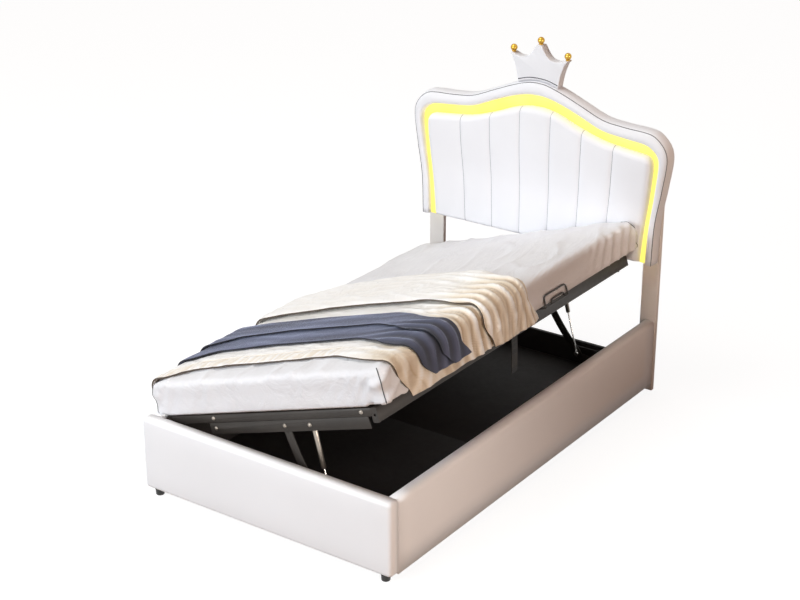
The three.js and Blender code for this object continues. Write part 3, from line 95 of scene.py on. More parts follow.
# %% Lay the floor
def add_node(tree, kind, **sockets):
    """Adds a node of a kind to a node tree and sets its sockets."""
    node = tree.nodes.new("ShaderNode" + kind)
    for name, value in sockets.items():
        node.inputs[name.replace("_", " ")].default_value = value
    return node


def seen_rays(tree):
    """1 for rays that show a surface, straight or in metal and glass, and 0 for rays of light."""
    path = add_node(tree, "LightPath")
    value = path.outputs["Is Camera Ray"]
    for ray in ("Is Glossy Ray", "Is Transmission Ray"):
        either = add_node(tree, "Math")
        either.operation = "MAXIMUM"
        tree.links.new(value, either.inputs[0])
        tree.links.new(path.outputs[ray], either.inputs[1])
        value = either.outputs[0]
    return value


def seen_or_lit(tree, lit, seen, out):
    """Shows one shader to rays that light things and another to rays that see them."""
    choose = add_node(tree, "MixShader")
    tree.links.new(seen_rays(tree), choose.inputs[0])
    tree.links.new(lit.outputs[0], choose.inputs[1])
    tree.links.new(seen.outputs[0], choose.inputs[2])
    tree.links.new(choose.outputs[0], out.inputs["Surface"])


def floor_material():
    made = bpy.data.materials.new("studio_floor")
    made.use_nodes = True
    tree = made.node_tree
    tree.nodes.clear()
    bounce = add_node(tree, "BsdfDiffuse", Color=(0.2, 0.12, 0.075, 1))
    shaded = add_node(tree, "BsdfDiffuse", Color=(0.24, 0.24, 0.24, 1))
    white = add_node(tree, "Emission", Color=(1, 1, 1, 1), Strength=0.9)
    both = add_node(tree, "AddShader")
    tree.links.new(shaded.outputs[0], both.inputs[0])
    tree.links.new(white.outputs[0], both.inputs[1])
    seen_or_lit(tree, bounce, both, add_node(tree, "OutputMaterial"))
    return made


def mesh_of(name, bm):
    """Turns a bmesh into a mesh and frees it."""
    mesh = bpy.data.meshes.new(name)
    bm.to_mesh(mesh)
    bm.free()
    return mesh


FLOOR_REACH = 30
floor_bm = bmesh.new()
bmesh.ops.create_grid(floor_bm, x_segments=1, y_segments=1, size=FLOOR_REACH)
floor = new_object("studio_floor", mesh_of("studio_floor", floor_bm))
floor.data.materials.append(floor_material())
print("floor of", 2 * FLOOR_REACH, "m")


# %% [markdown]
# One strong lamp would give hard shadows, so most of the light comes from the world. It is cool in
# front and above, and brown on the right. Two large lamps shape the front and the top, and three
# small beams lift the right rail, the headboard's side and its post.

# %% Hang the world and the lamps
def soft_world(front_colour, right_colour, top_colour):
    """A world whose light comes cool from the front and left, and dim and warm from the right."""
    world = bpy.data.worlds.new("studio_world")
    scene.world = world
    world.use_nodes = True
    tree = world.node_tree
    tree.nodes.clear()
    parts = add_node(tree, "SeparateXYZ")
    tree.links.new(add_node(tree, "TexCoord").outputs["Generated"], parts.inputs[0])
    previous = None
    for axis, colour, start, end in (("Z", top_colour, 0.25, 0.8), ("X", right_colour, -0.2, 0.4)):
        share = add_node(tree, "MapRange", From_Min=start, From_Max=end)
        mix = add_node(tree, "Mix")
        mix.data_type = "RGBA"
        tree.links.new(parts.outputs[axis], share.inputs["Value"])
        tree.links.new(share.outputs["Result"], mix.inputs["Factor"])
        if previous is None:
            mix.inputs["A"].default_value = (*front_colour, 1)
        else:
            tree.links.new(previous, mix.inputs["A"])
        mix.inputs["B"].default_value = (*colour, 1)
        previous = mix.outputs["Result"]
    lit = add_node(tree, "Background")
    tree.links.new(previous, lit.inputs["Color"])
    seen = add_node(tree, "Background", Color=(1, 1, 1, 1))
    seen_or_lit(tree, lit, seen, add_node(tree, "OutputWorld"))


def lamp(name, place, aim, size, power, colour, spread=180):
    """A square lamp in watts. A narrow spread, in degrees, makes a beam of it."""
    data = bpy.data.lights.new(name, "AREA")
    data.shape = "SQUARE"
    data.size = size
    data.energy = power
    data.color = colour
    data.spread = math.radians(spread)
    made = new_object(name, data)
    made.location = place
    made.rotation_mode = "QUATERNION"
    made.rotation_quaternion = (Vector(aim) - Vector(place)).to_track_quat("-Z", "Y")


soft_world((0.40, 0.42, 0.445), (0.18, 0.07, 0.024), (0.46, 0.445, 0.42))
lamp("front_lamp", (-1.9, -6.0, 2.5), (0, 0, 0.6), 2.6, 257, (0.915, 0.99, 1.045))
lamp("top_lamp", (-1.2, -0.8, 5.2), (0, 0, 0.5), 2.4, 91, (0.995, 0.99, 0.965))
lamp("rail_lamp", (4.2, -1.8, 1.3), (0.6, -0.86, 0.3), 0.9, 6.5, (0.98, 0.875, 0.78), 50)
lamp("head_side_lamp", (3.8, 0.3, 1.5), (0.6, 0.98, 1.15), 0.6, 1.3, (1.0, 0.84, 0.71), 32)
lamp("post_lamp", (1.7, -3.0, 0.8), (0.62, 1.0, 0.56), 0.25, 0.22, (1.0, 0.86, 0.74), 12)

# %% [markdown]
# ## Finishes
# Every finish is a node tree around one shader. A noise varies the colour a little, a second one
# varies the roughness, and a third gives the bump that stands for grain or weave. Its scales are in
# metres, because all patterns read the object's own coordinates, so a grain of a millimetre stays a
# millimetre on each piece.

# %% Helpers for finishes
def linear(code):
    """The linear colour of a code such as eeeef0."""
    parts = [int(code[i:i + 2], 16) / 255 for i in (0, 2, 4)]
    return tuple(p / 12.92 if p <= 0.04045 else ((p + 0.055) / 1.055) ** 2.4 for p in parts)


class Finish:
    """A material with one shader, its noises and its bumps."""

    def __init__(self, name, code, roughness, metallic=0.0):
        self.material = bpy.data.materials.new(name)
        self.material.use_nodes = True
        self.tree = self.material.node_tree
        self.shader = self.tree.nodes["Principled BSDF"]
        self.set(Base_Color=(*linear(code), 1), Roughness=roughness, Metallic=metallic)
        self.place = add_node(self.tree, "TexCoord")
        self.height = None

    def set(self, **sockets):
        for name, value in sockets.items():
            self.shader.inputs[name.replace("_", " ")].default_value = value

    def pattern(self, kind, stretch, **sockets):
        """A texture in the object's own coordinates, drawn out along an axis by a small stretch."""
        mapping = add_node(self.tree, "Mapping", Scale=stretch)
        texture = add_node(self.tree, kind, **sockets)
        self.tree.links.new(self.place.outputs["Object"], mapping.inputs["Vector"])
        self.tree.links.new(mapping.outputs["Vector"], texture.inputs["Vector"])
        return texture

    def noise(self, scale, detail=4, roughness=0.55, distortion=0.0, stretch=(1, 1, 1)):
        texture = self.pattern("TexNoise", stretch, Scale=scale, Detail=detail, Roughness=roughness,
                               Distortion=distortion)
        return texture.outputs["Fac"]

    def cells(self, scale):
        return self.pattern("TexVoronoi", (1, 1, 1), Scale=scale).outputs["Distance"]

    def waves(self, scale, direction):
        texture = self.pattern("TexWave", (1, 1, 1), Scale=scale)
        texture.bands_direction = direction
        return texture.outputs["Fac"]

    def ramp(self, mask, low_colour, high_colour, low=0.3, high=0.7, socket="Base Color"):
        """Runs a socket from one linear colour to another as a mask rises from low to high."""
        node = add_node(self.tree, "ValToRGB")
        stops = node.color_ramp.elements
        stops[0].position, stops[1].position = low, high
        stops[0].color, stops[1].color = (*low_colour, 1), (*high_colour, 1)
        self.tree.links.new(mask, node.inputs["Fac"])
        self.tree.links.new(node.outputs["Color"], self.shader.inputs[socket])
        return stops

    def blend_colours(self, mask, low_code, high_code, low=0.3, high=0.7):
        return self.ramp(mask, linear(low_code), linear(high_code), low, high)

    def vary_roughness(self, mask, low, high):
        spread = add_node(self.tree, "MapRange", To_Min=low, To_Max=high)
        self.tree.links.new(mask, spread.inputs["Value"])
        self.tree.links.new(spread.outputs["Result"], self.shader.inputs["Roughness"])

    def bump(self, mask, distance, strength=1.0):
        """Adds a bump of a height in metres over the ones before it."""
        node = add_node(self.tree, "Bump", Distance=distance, Strength=strength)
        self.tree.links.new(mask, node.inputs["Height"])
        if self.height is not None:
            self.tree.links.new(self.height, node.inputs["Normal"])
        self.height = node.outputs["Normal"]
        self.tree.links.new(self.height, self.shader.inputs["Normal"])


# %% [markdown]
# Leatherette is a plastic skin with a fine pebbled grain. A scanned picture could stand for it, but
# a Voronoi bump of two millimetres needs no picture and never repeats. A broad, faint bump under it
# gives the skin the softness of foam.

# %% Leatherette, for the box, the headboard and the crown
def leatherette(name, low_code, high_code):
    made = Finish(name, high_code, 0.42)
    made.blend_colours(made.noise(2.2, detail=3), low_code, high_code, 0.35, 0.65)
    made.vary_roughness(made.noise(40, detail=3), 0.46, 0.6)
    made.bump(made.noise(3.5, detail=2), 0.0025, 0.35)
    made.bump(made.cells(520), 0.0002, 0.5)
    made.set(Specular_IOR_Level=0.3)
    return made.material


box_cover = leatherette("box_leatherette", "f2f2f4", "f5f5f7")
head_cover = leatherette("headboard_leatherette", "eff0f4", "f3f4f8")
post_cover = leatherette("post_leatherette", "ece8e4", "f1eeeb")
print("leatherette", [m.name for m in (box_cover, head_cover, post_cover)])


# %% [markdown]
# The strip in the headboard is a lamp behind a diffuser. Real lamps behind it would be slow and
# noisy to render, so its surface glows by itself. Piping and thread are thin, so one colour and a
# fine bump do for them.

# %% Light, piping and stitching
def glowing_strip():
    made = Finish("lit_strip", "5a4e1a", 0.5)
    glow = made.noise(7, detail=1)
    made.ramp(glow, (1.0, 0.82, 0.15), (1.0, 0.85, 0.19), socket="Emission Color")
    made.set(Emission_Strength=1.24)
    return made.material


def trim(name, code, roughness=0.6):
    made = Finish(name, code, roughness)
    made.vary_roughness(made.noise(200), roughness - 0.1, roughness + 0.1)
    made.bump(made.noise(900, detail=2), 0.0002, 0.4)
    return made.material


strip_light = glowing_strip()
grey_piping = trim("grey_piping", "9fa0a6")
dark_piping = trim("dark_piping", "45454b")
soft_piping = trim("soft_piping", "5a5a5e")
print("trim", [m.name for m in (strip_light, grey_piping, dark_piping, soft_piping)])


# %% [markdown]
# The frame is powder coated: a dark, half gloss paint with a fine orange-peel bump. Board, plastic
# and gilt differ from it only in their numbers, so one function makes them all. The slats have a
# figure that is drawn out along the wood, and the struts a bright metal.

# %% Metals, board, wood and plastic
def plain(name, code, roughness, metallic, patches, gloss, grain):
    """Patches of two colours, a varied gloss and a grain, each led by the scale of its noise."""
    made = Finish(name, code, roughness, metallic)
    made.blend_colours(made.noise(patches[0]), *patches[1:])
    made.vary_roughness(made.noise(gloss[0]), *gloss[1:])
    made.bump(made.noise(grain[0], detail=grain[1]), *grain[2:])
    return made.material


def bare_steel(name, low_code, high_code, roughness):
    made = Finish(name, high_code, roughness, 1.0)
    made.blend_colours(made.noise(30), low_code, high_code)
    made.vary_roughness(made.noise(300, stretch=(1, 1, 0.1)), roughness, roughness + 0.14)
    made.bump(made.noise(700, detail=2), 0.00005, 0.4)
    return made.material


def slat_timber():
    made = Finish("slat_timber", "c9a878", 0.55)
    figure = made.noise(9, detail=6, distortion=0.6, stretch=(0.12, 1, 1))
    made.blend_colours(figure, "b08f62", "d6b88a")
    made.vary_roughness(made.noise(60), 0.5, 0.65)
    made.bump(made.noise(160, stretch=(0.05, 1, 1)), 0.0003, 0.4)
    return made.material


dark_coat = plain("black_powder_coat", "3a3634", 0.5, 0.25,
                  patches=(5, "28231f", "342e29"), gloss=(60, 0.42, 0.6),
                  grain=(1500, 2, 0.00012, 0.5))
dark_board = plain("black_board", "221e1c", 0.75, 0.0,
                   patches=(6, "1e1a18", "2a2523"), gloss=(50, 0.65, 0.85),
                   grain=(1200, 3, 0.0002, 0.5))
timber = slat_timber()
plastic = plain("moulded_plastic", "242222", 0.5, 0.0,
                patches=(20, "201e1e", "2a2827"), gloss=(120, 0.42, 0.58),
                grain=(1800, 1, 0.00008, 0.4))
gold_leaf = plain("gilt_ball", "d9aa45", 0.2, 1.0,
                  patches=(60, "bd8a2c", "d6ad52"), gloss=(200, 0.14, 0.3),
                  grain=(90, 2, 0.0003, 0.3))
zinc = bare_steel("zinc_plate", "8f867c", "ada49a", 0.3)
chrome = bare_steel("polished_rod", "c9c5c0", "e6e3df", 0.1)
print("hard finishes", len(bpy.data.materials))


# %% [markdown]
# Light scatters in the fibres of cotton and satin, which the shader's sheen stands for. Satin
# turns brown in the shade of its folds and white where light catches their crests. Lamps alone
# don't give that here, so the mesh carries painted shading at each point, painted shade in the
# hollows and painted highlight on the crests, and the cloth's colour follows it.

# %% Cloths
def fitted_sheet():
    made = Finish("fitted_sheet", "e6e5e8", 0.85)
    made.blend_colours(made.noise(3), "e3e2e5", "ebeaec")
    creases = made.noise(9, detail=5, roughness=0.6, distortion=0.8, stretch=(1, 0.35, 1))
    made.bump(creases, 0.022, 0.65)
    made.bump(made.noise(1400, detail=1), 0.0001, 0.5)
    made.set(Sheen_Weight=0.15, Sheen_Roughness=0.5)
    return made.material


FOLD_MIDDLE = 0.45


def paint_fold_shading(made, deep_code, middle_code, high_code):
    """Paints shade into a cloth's hollows (0) and highlight onto its crests (1), from its mesh."""
    painted_shading = add_node(made.tree, "Attribute")
    painted_shading.attribute_name = "painted_shading"
    stops = made.blend_colours(painted_shading.outputs["Fac"], deep_code, high_code, 0.0, 1.0)
    stops.new(FOLD_MIDDLE).color = (*linear(middle_code), 1)


def cream_satin():
    made = Finish("cream_satin", "f1e9dc", 0.3)
    # painted shade: brown in the folds' hollows; painted highlight: near white on their crests
    paint_fold_shading(made, "a98960", "e8dac5", "fdfdfd")
    made.vary_roughness(made.noise(30), 0.24, 0.36)
    creases = made.noise(15, detail=3, roughness=0.5, distortion=1.8, stretch=(1, 0.6, 1))
    made.bump(creases, 0.014, 0.55)
    made.bump(made.waves(900, "DIAGONAL"), 0.00005, 0.3)
    made.set(Sheen_Weight=0.12, Sheen_Roughness=0.3)
    return made.material


def navy_cloth():
    made = Finish("navy_cloth", "444859", 0.8)
    # painted shade: near black in the folds' hollows; painted highlight: pale blue-grey on their
    # crests
    paint_fold_shading(made, "2a282e", "424557", "6a7089")
    made.vary_roughness(made.noise(60), 0.7, 0.86)
    made.bump(made.noise(12, detail=4, distortion=0.6, stretch=(1, 0.4, 1)), 0.005, 0.4)
    made.bump(made.cells(620), 0.0004, 0.6)
    made.set(Sheen_Weight=0.9, Sheen_Roughness=0.28, Sheen_Tint=(0.62, 0.68, 0.9, 1))
    return made.material


def woven_webbing():
    made = Finish("woven_webbing", "1f1c1a", 0.85)
    made.blend_colours(made.waves(260, "X"), "171513", "27231f")
    made.bump(made.waves(260, "X"), 0.0005, 0.7)
    made.bump(made.waves(300, "Z"), 0.0005, 0.6)
    return made.material


sheet_cotton, satin, navy, webbing = fitted_sheet(), cream_satin(), navy_cloth(), woven_webbing()
# painted shadow lines: dark rims that stand for the shadow under the quilt's and the throw's hems
hem_shade, navy_hem_shadow = trim("hem_shade", "5b4f45", 0.8), trim("navy_hem_shadow", "24242c", 0.8)
print("cloths", [m.name for m in (sheet_cotton, satin, navy, webbing)])

# %% [markdown]
# ## Finishing the frame's own nodes
# Steel tubes, brackets, slats and boards already have their true shape, so they keep it. They gain
# a fine bevel, which catches light along each edge as rolled and cut steel does, and smooth shading
# round their tubes.

# %% Finish the carried-over nodes
def each(stems, ends):
    """The names of nodes from every stem with every ending."""
    return [f"{stem}_{end}" for stem in stems.split() for end in ends.split()]


node_finishes = {
    dark_coat: each("frame_tube lift_bar lift_base hinge_bracket closing_rest link", "foot head")
    + each("frame_tube corner_bracket head_bracket", "left right")
    + ["frame_tube_centre", "mattress_retainer"],
    zinc: each("strut_cylinder", "foot head"),
    chrome: each("strut_rod", "foot head"),
    dark_board: each("floor_panel", "foot head")
    + ["head_end_board", "centre_bearer", "headboard_back"],
    post_cover: each("headboard_post", "left right"),
    plastic: each("foot", "left right") + each("centre_foot", "1 2") + ["light_inlet"],
    timber: [f"slat_{i}" for i in range(1, 11)],
}
MERGE, NODE_EDGE, SHARP_ANGLE = 0.00002, 0.0006, math.radians(38)


def finish_node(name, material):
    """Gives a node its material and, by modifiers alone, joined triangles and rounded edges."""
    node = frame["nodes"][name]
    for holder in node.material_slots:
        holder.material = material
    if not node.data.materials:
        node.data.materials.append(material)
    weld = node.modifiers.new("weld", "WELD")
    weld.merge_threshold = MERGE
    bevel = node.modifiers.new("edge", "BEVEL")
    bevel.width = NODE_EDGE
    bevel.segments = 2
    bevel.limit_method = "ANGLE"
    bevel.angle_limit = SHARP_ANGLE
    bevel.harden_normals = True
    bevel.use_clamp_overlap = True
    for face in node.data.polygons:
        face.use_smooth = True


for material, names in node_finishes.items():
    for name in names:
        finish_node(name, material)
print("finished nodes", sum(len(n) for n in node_finishes.values()))

# %% [markdown]
# ## Working in the closed bed's place
# The platform is shown tilted about its hinge line. A mattress and its covers are far simpler to
# shape lying flat, as they are on the closed bed, so these pieces are made flat and turned about
# the hinge line as the last step.

# %% The platform's tilt and shared helpers
hinge = next(j for j in frame["joints"] if j["name"] == "platform_hinge")
hinge_line = Vector(hinge["pos_m"])
open_angle = math.radians(max(hinge["range_deg"]))
open_up = (Matrix.Translation(hinge_line) @ Matrix.Rotation(-open_angle, 4, "Y")
           @ Matrix.Translation(-hinge_line))
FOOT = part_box("footboard")[0].y


def along(millimetres):
    """The y of a distance from the front of the footboard."""
    return FOOT + millimetres / 1000


def clamp(value, low=0.0, high=1.0):
    return min(high, max(low, value))


def ramp_up(value, start, end):
    """A smooth rise from 0 at the start to 1 at the end."""
    part = clamp((value - start) / (end - start))
    return part * part * (3 - 2 * part)


def dress(name, mesh, materials, body, replaced=()):
    """Makes a mesh a smooth piece on its body, in place of the frame's nodes that it stands for."""
    made = new_object(name, mesh)
    mesh.materials.clear()
    for material in materials:
        mesh.materials.append(material)
    for face in mesh.polygons:
        face.use_smooth = True
    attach(made, body)
    if replaced:
        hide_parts(*replaced)
    print(name, len(mesh.polygons), "faces")
    return made


def finish_piece(name, bm, material, body, replaced=(), tilt=False):
    """Turns a bmesh into a piece. What is shaped on the closed bed is tilted with the platform."""
    bmesh.ops.remove_doubles(bm, verts=bm.verts, dist=MERGE)
    bmesh.ops.recalc_face_normals(bm, faces=bm.faces)
    if tilt:
        bmesh.ops.transform(bm, matrix=open_up, verts=bm.verts)
    return dress(name, mesh_of(name, bm), [material], body, replaced)


def chain(bm, points):
    """A line of edges through points, to extrude or bridge."""
    verts = [bm.verts.new(p) for p in points]
    return [bm.edges.new(pair) for pair in zip(verts, verts[1:])]


def bridged(bm, lines):
    """Bridges a ring of edge lines into a skin, and closes its ends."""
    for first, second in zip(lines, lines[1:] + lines[:1]):
        bmesh.ops.bridge_loops(bm, edges=first + second)
    bmesh.ops.holes_fill(bm, edges=[e for e in bm.edges if e.is_boundary], sides=0)


def evaluated(made):
    """An object as it is with its modifiers or its curve's thickness."""
    bpy.context.view_layer.update()
    return made.evaluated_get(bpy.context.evaluated_depsgraph_get())


def tube_along(name, points, radius, material, body, tilt=False):
    """A thin round line through points, for piping and thread, made a mesh."""
    curve = bpy.data.curves.new(name, "CURVE")
    curve.dimensions = "3D"
    curve.bevel_depth = radius
    curve.bevel_resolution = 1
    curve.use_fill_caps = True
    line = curve.splines.new("POLY")
    line.points.add(len(points) - 1)
    for place, point in zip(points, line.points):
        point.co = (*(open_up @ Vector(place) if tilt else Vector(place)), 1)
    drawn = new_object(name, curve)
    mesh = bpy.data.meshes.new_from_object(evaluated(drawn))
    bpy.data.objects.remove(drawn)
    mesh.name = name
    return dress(name, mesh, [material], body)


# %% [markdown]
# ## The box
# The box is boards wrapped in leatherette over a thin layer of foam. A cube that is scaled to the
# board and bevelled along its edges has just that form: flat faces and rounded corners. The faces
# then swell by a millimetre or two, most in the middle, because foam pushes the cover out where
# nothing holds it.

# %% Make the footboard and the rails
def block(low, high):
    """A box between two corners."""
    bm = bmesh.new()
    bmesh.ops.create_cube(bm, size=1)
    bmesh.ops.scale(bm, vec=high - low, verts=bm.verts)
    bmesh.ops.translate(bm, vec=(high + low) / 2, verts=bm.verts)
    return bm


def round_edges(bm, edges, radius, segments, clamped=False):
    bmesh.ops.bevel(bm, geom=edges, offset=radius, offset_type="OFFSET", segments=segments,
                    profile=0.5, affect="EDGES", material=-1, clamp_overlap=clamped)


LONG_SIDE, CUT_SPACING = 0.2, 0.07


def padded_board(low, high, radius, swell, keep_flat=()):
    """A block, its edges rounded and its faces swollen, but for the sides that keep_flat names."""
    low, high = Vector(low), Vector(high)
    size = high - low
    bm = block(low, high)

    def on_side(vert, axis, end, within=1e-6):
        return abs(vert.co[axis] - (low, high)[end][axis]) < within

    sharp = [e for e in bm.edges for face in keep_flat if all(on_side(v, *face) for v in e.verts)]
    round_edges(bm, [e for e in bm.edges if e not in sharp], radius, 6)
    for axis in range(3):
        if size[axis] <= LONG_SIDE:
            continue
        count = int(size[axis] / CUT_SPACING)
        for i in range(1, count):
            plane = low.copy()
            plane[axis] = low[axis] + radius + (size[axis] - 2 * radius) * i / count
            bmesh.ops.bisect_plane(bm, geom=bm.verts[:] + bm.edges[:] + bm.faces[:], dist=1e-6,
                                   plane_co=plane, plane_no=[float(a == axis) for a in range(3)])
    for vert in bm.verts:
        for axis in range(3):
            others = [a for a in range(3) if a != axis]
            for end, direction in enumerate((-1, 1)):
                if on_side(vert, axis, end, 1e-5) and (axis, end) not in keep_flat:
                    parts = [(vert.co[other] - low[other]) / size[other] for other in others]
                    share = math.prod(max(0.0, 1 - abs(2 * part - 1) ** 4) for part in parts)
                    vert.co[axis] += direction * swell * share
    return bm


BOARD_SWELL, RAIL_INNER, RAIL_GAP = 0.0012, 0.562, 0.0013
footboard_bm = padded_board(*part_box("footboard"), 0.018, BOARD_SWELL, keep_flat=[(1, 1)])
finish_piece("footboard_cover", footboard_bm, box_cover, "box", ["footboard"])

for side, sign in (("right", 1), ("left", -1)):
    low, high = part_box(f"side_rail_{side}")
    low.x, high.x = (RAIL_INNER, high.x) if sign > 0 else (low.x, -RAIL_INNER)
    high.z -= RAIL_GAP
    rail_bm = padded_board(low, high, 0.022, BOARD_SWELL, keep_flat=[(1, 0), (1, 1), (2, 0)])
    finish_piece(f"rail_cover_{side}", rail_bm, box_cover, "box", [f"side_rail_{side}"])

# %% [markdown]
# Inside, the rails are lined in black cloth, and a wooden ledge along each of them carries the
# floor panels.

# %% Line the box and add its ledges
INSIDE_FOOT, INSIDE_HEAD = along(51), along(2013)
# for each strip: name, nearest and farthest x, lowest and highest z, and the radius of its edges
strips = [("rail_lining", 0.5608, 0.5619, 0.0445, 0.318, 0.0004),
          ("floor_ledge", 0.542, 0.5606, 0.0457, 0.0615, 0.002)]
for side, sign in (("right", 1), ("left", -1)):
    for name, near, far, low_z, high_z, radius in strips:
        low_x, high_x = sorted((sign * near, sign * far))
        bm = padded_board((low_x, INSIDE_FOOT, low_z), (high_x, INSIDE_HEAD, high_z), radius, 0)
        finish_piece(f"{name}_{side}", bm, dark_board, "box")

# %% [markdown]
# ## The headboard
# Its outline is one flowing line over three humps. It is kept as shares of the headboard's half
# width and height, and a smooth curve runs through them. The border, the lit strip and the pad each
# fill the band between two such lines.

# %% The headboard's lines
HEAD_HALF, HEAD_LOW, HEAD_TOP = 0.672, 0.641, 1.394
HEAD_BACK, STRIP_FRONT = along(2059.7), along(2020)
PAD_SEAM, BORDER_FRONT = along(2008), along(2000)
SWELL_LOW, SWELL_FULL = 0.86, 1.11
outer_shares = [
    (0.925, 0), (0.936, 0.272), (0.973, 0.469), (1, 0.671), (0.982, 0.732), (0.939, 0.78),
    (0.878, 0.814), (0.658, 0.829), (0.513, 0.845), (0.35, 0.902), (0.19, 0.96), (0.064, 0.995),
    (0, 1)]
light_shares = [
    (0.866, 0), (0.879, 0.238), (0.911, 0.457), (0.927, 0.649), (0.908, 0.689), (0.871, 0.716),
    (0.833, 0.732), (0.679, 0.748), (0.506, 0.769), (0.327, 0.833), (0.164, 0.885), (0.06, 0.905),
    (0, 0.908)]
pad_shares = [
    (0.818, 0), (0.842, 0.238), (0.868, 0.424), (0.881, 0.629), (0.866, 0.656), (0.833, 0.671),
    (0.796, 0.675), (0.67, 0.687), (0.506, 0.708), (0.327, 0.757), (0.164, 0.813), (0.06, 0.833),
    (0, 0.835)]


def smooth_line(points, steps):
    """A centripetal curve through points, with the given steps between each two."""
    points = [Vector(p) for p in points]
    ends = [2 * points[0] - points[1], *points, 2 * points[-1] - points[-2]]
    line = []
    for a, b, c, d in zip(ends, ends[1:], ends[2:], ends[3:]):
        first, second, third = ((q - p).length ** 0.5 for p, q in ((a, b), (b, c), (c, d)))
        leave = ((b - a) / first - (c - a) / (first + second) + (c - b) / second) * second
        arrive = ((c - b) / second - (d - b) / (second + third) + (d - c) / third) * second
        for i in range(steps):
            t = i / steps
            line.append((2 * t**3 - 3 * t**2 + 1) * b + (t**3 - 2 * t**2 + t) * leave
                        + (3 * t**2 - 2 * t**3) * c + (t**3 - t**2) * arrive)
    return [*line, points[-1]]


def head_line(shares, steps=7):
    """A headboard line as x and z, from the right lower corner over the top to the left one."""
    corners = [(x * HEAD_HALF, HEAD_LOW + z * (HEAD_TOP - HEAD_LOW)) for x, z in shares]
    half = [(max(0.0, p.x), p.y) for p in smooth_line(corners, steps)]
    return half + [(-x, z) for x, z in reversed(half[:-1])]


outer_line, light_line, pad_line = map(head_line, (outer_shares, light_shares, pad_shares))
print("headboard lines of", len(outer_line), "points")


# %% [markdown]
# The border is a roll of foam in a cover. A curve with a bevel could make it, but its width changes
# on the way round. So one section is laid out between two lines again and again, and the bridge
# operator skins it.

# %% Make the border
def swelling(height):
    """The foam's share of its swelling: none beside the mattress and all of it above."""
    return ramp_up(height, SWELL_LOW, SWELL_FULL)


def head_band(name, inner, outer, section, gap, material, replaced, swell=0.0):
    """A band between two lines. Each row of its section has shares across and of the swelling, and
    a depth between them."""
    bm = bmesh.new()
    lines = []
    for share, depth, full in section:
        points = []
        for (ix, iz), (ox, oz) in zip(inner, outer):
            start, reach = Vector((ix, iz)), Vector((ox - ix, oz - iz))
            part = (gap + share * (reach.length - gap)) / reach.length
            spot = start + reach * part
            points.append((spot.x, depth - swell * full * swelling(spot.y), spot.y))
        lines.append(chain(bm, points))
    bridged(bm, lines)
    return finish_piece(name, bm, material, "box", replaced)


def border_profile():
    """The border's section: a lip over the strip, a swollen front, the piped edge and the side."""
    points = [(0, HEAD_BACK, 0), (0, BORDER_FRONT + 0.016, 0)]
    for i in range(9):
        turn = math.radians(90 * i / 8)
        lip = BORDER_FRONT + 0.014 * (1 - math.sin(turn))
        points.append((0.24 * (1 - math.cos(turn)), lip, math.sin(turn)))
    front = [(0.36, -0.001, 1), (0.5, -0.001, 0.93), (0.64, -0.0005, 0.7), (0.76, 0, 0.36),
             (0.835, 0.0015, 0.1), (0.86, 0.003, 0), (0.89, 0.006, 0), (0.94, 0.012, 0),
             (0.98, 0.020, 0), (1, 0.031, 0), (1, 0.043, 0)]
    points += [(share, BORDER_FRONT + depth, full) for share, depth, full in front]
    return points + [(0.99, HEAD_BACK - 0.006, 0), (0.975, HEAD_BACK, 0)]


border = head_band("headboard_border_cover", light_line, outer_line, border_profile(), 0.0003,
                   head_cover, ["headboard_border"], swell=0.010)

# %% [markdown]
# The strip lies a centimetre behind the border. It shines by itself: its emission is the yellow of
# the lamp, so it looks the same in any light.

# %% Make the lit strip
strip_front = [(0, 0.002), (0.06, 0.0004), (0.5, 0), (0.94, 0.0004), (1, 0.002)]
strip_section = [(share, STRIP_FRONT + depth, 0) for share, depth in strip_front]
strip_section = [(0, HEAD_BACK, 0), *strip_section, (1, HEAD_BACK, 0)]
head_band("lit_strip_panel", pad_line, light_line, strip_section, 0.001, strip_light,
          ["light_strip"])


# %% [markdown]
# The pad has seven upright channels. The cover is pulled in along each seam and swells between
# them, and every channel rounds over at its top, where the seam hooks back. A flat grid with enough
# columns can be pushed into that form.

# %% Make the pad
def line_height(line, distance):
    """The height of a headboard line over a distance from the middle."""
    half = line[:len(line) // 2 + 1]
    best = half[-1][1]
    for (x0, z0), (x1, z1) in zip(half[::-1], half[-2::-1]):
        if x1 < x0:
            break
        if distance >= x0:
            best = z0 + (z1 - z0) * min(1, (distance - x0) / max(x1 - x0, 1e-6))
    return best


def line_width(line, height):
    """The half width of a headboard line at a height."""
    half = line[:len(line) // 2 + 1]
    best = half[0][0]
    for (x0, z0), (x1, z1) in zip(half, half[1:]):
        if x1 < x0:
            break
        if height >= z0:
            best = x0 + (x1 - x0) * min(1, (height - z0) / (z1 - z0))
    return best


CHANNELS = 7
CHANNEL_SHARE = 0.952 * 2 / CHANNELS
pad_corner_z = HEAD_LOW + 0.629 * (HEAD_TOP - HEAD_LOW)
pad_corner_x = line_width(pad_line, pad_corner_z)
PAD_GAP, TOP_ROLL, FOOT_ROLL, SIDE_ROLL = 0.0004, 0.032, 0.02, 0.03
PAD_RIM, SEAM_RISE, CHANNEL_PUFF, PAD_SWELL = STRIP_FRONT + 0.004, 0.0055, 0.0068, 0.011


def pad_spot(across, up):
    """A spot on the pad's outline plane for shares across (-1 to 1) and up (0 to 1)."""
    reach = line_width(pad_line, HEAD_LOW + up * (pad_corner_z - HEAD_LOW)) - PAD_GAP
    top = line_height(pad_line, abs(across) * pad_corner_x) - PAD_GAP
    return across * reach, HEAD_LOW + up * (top - HEAD_LOW)


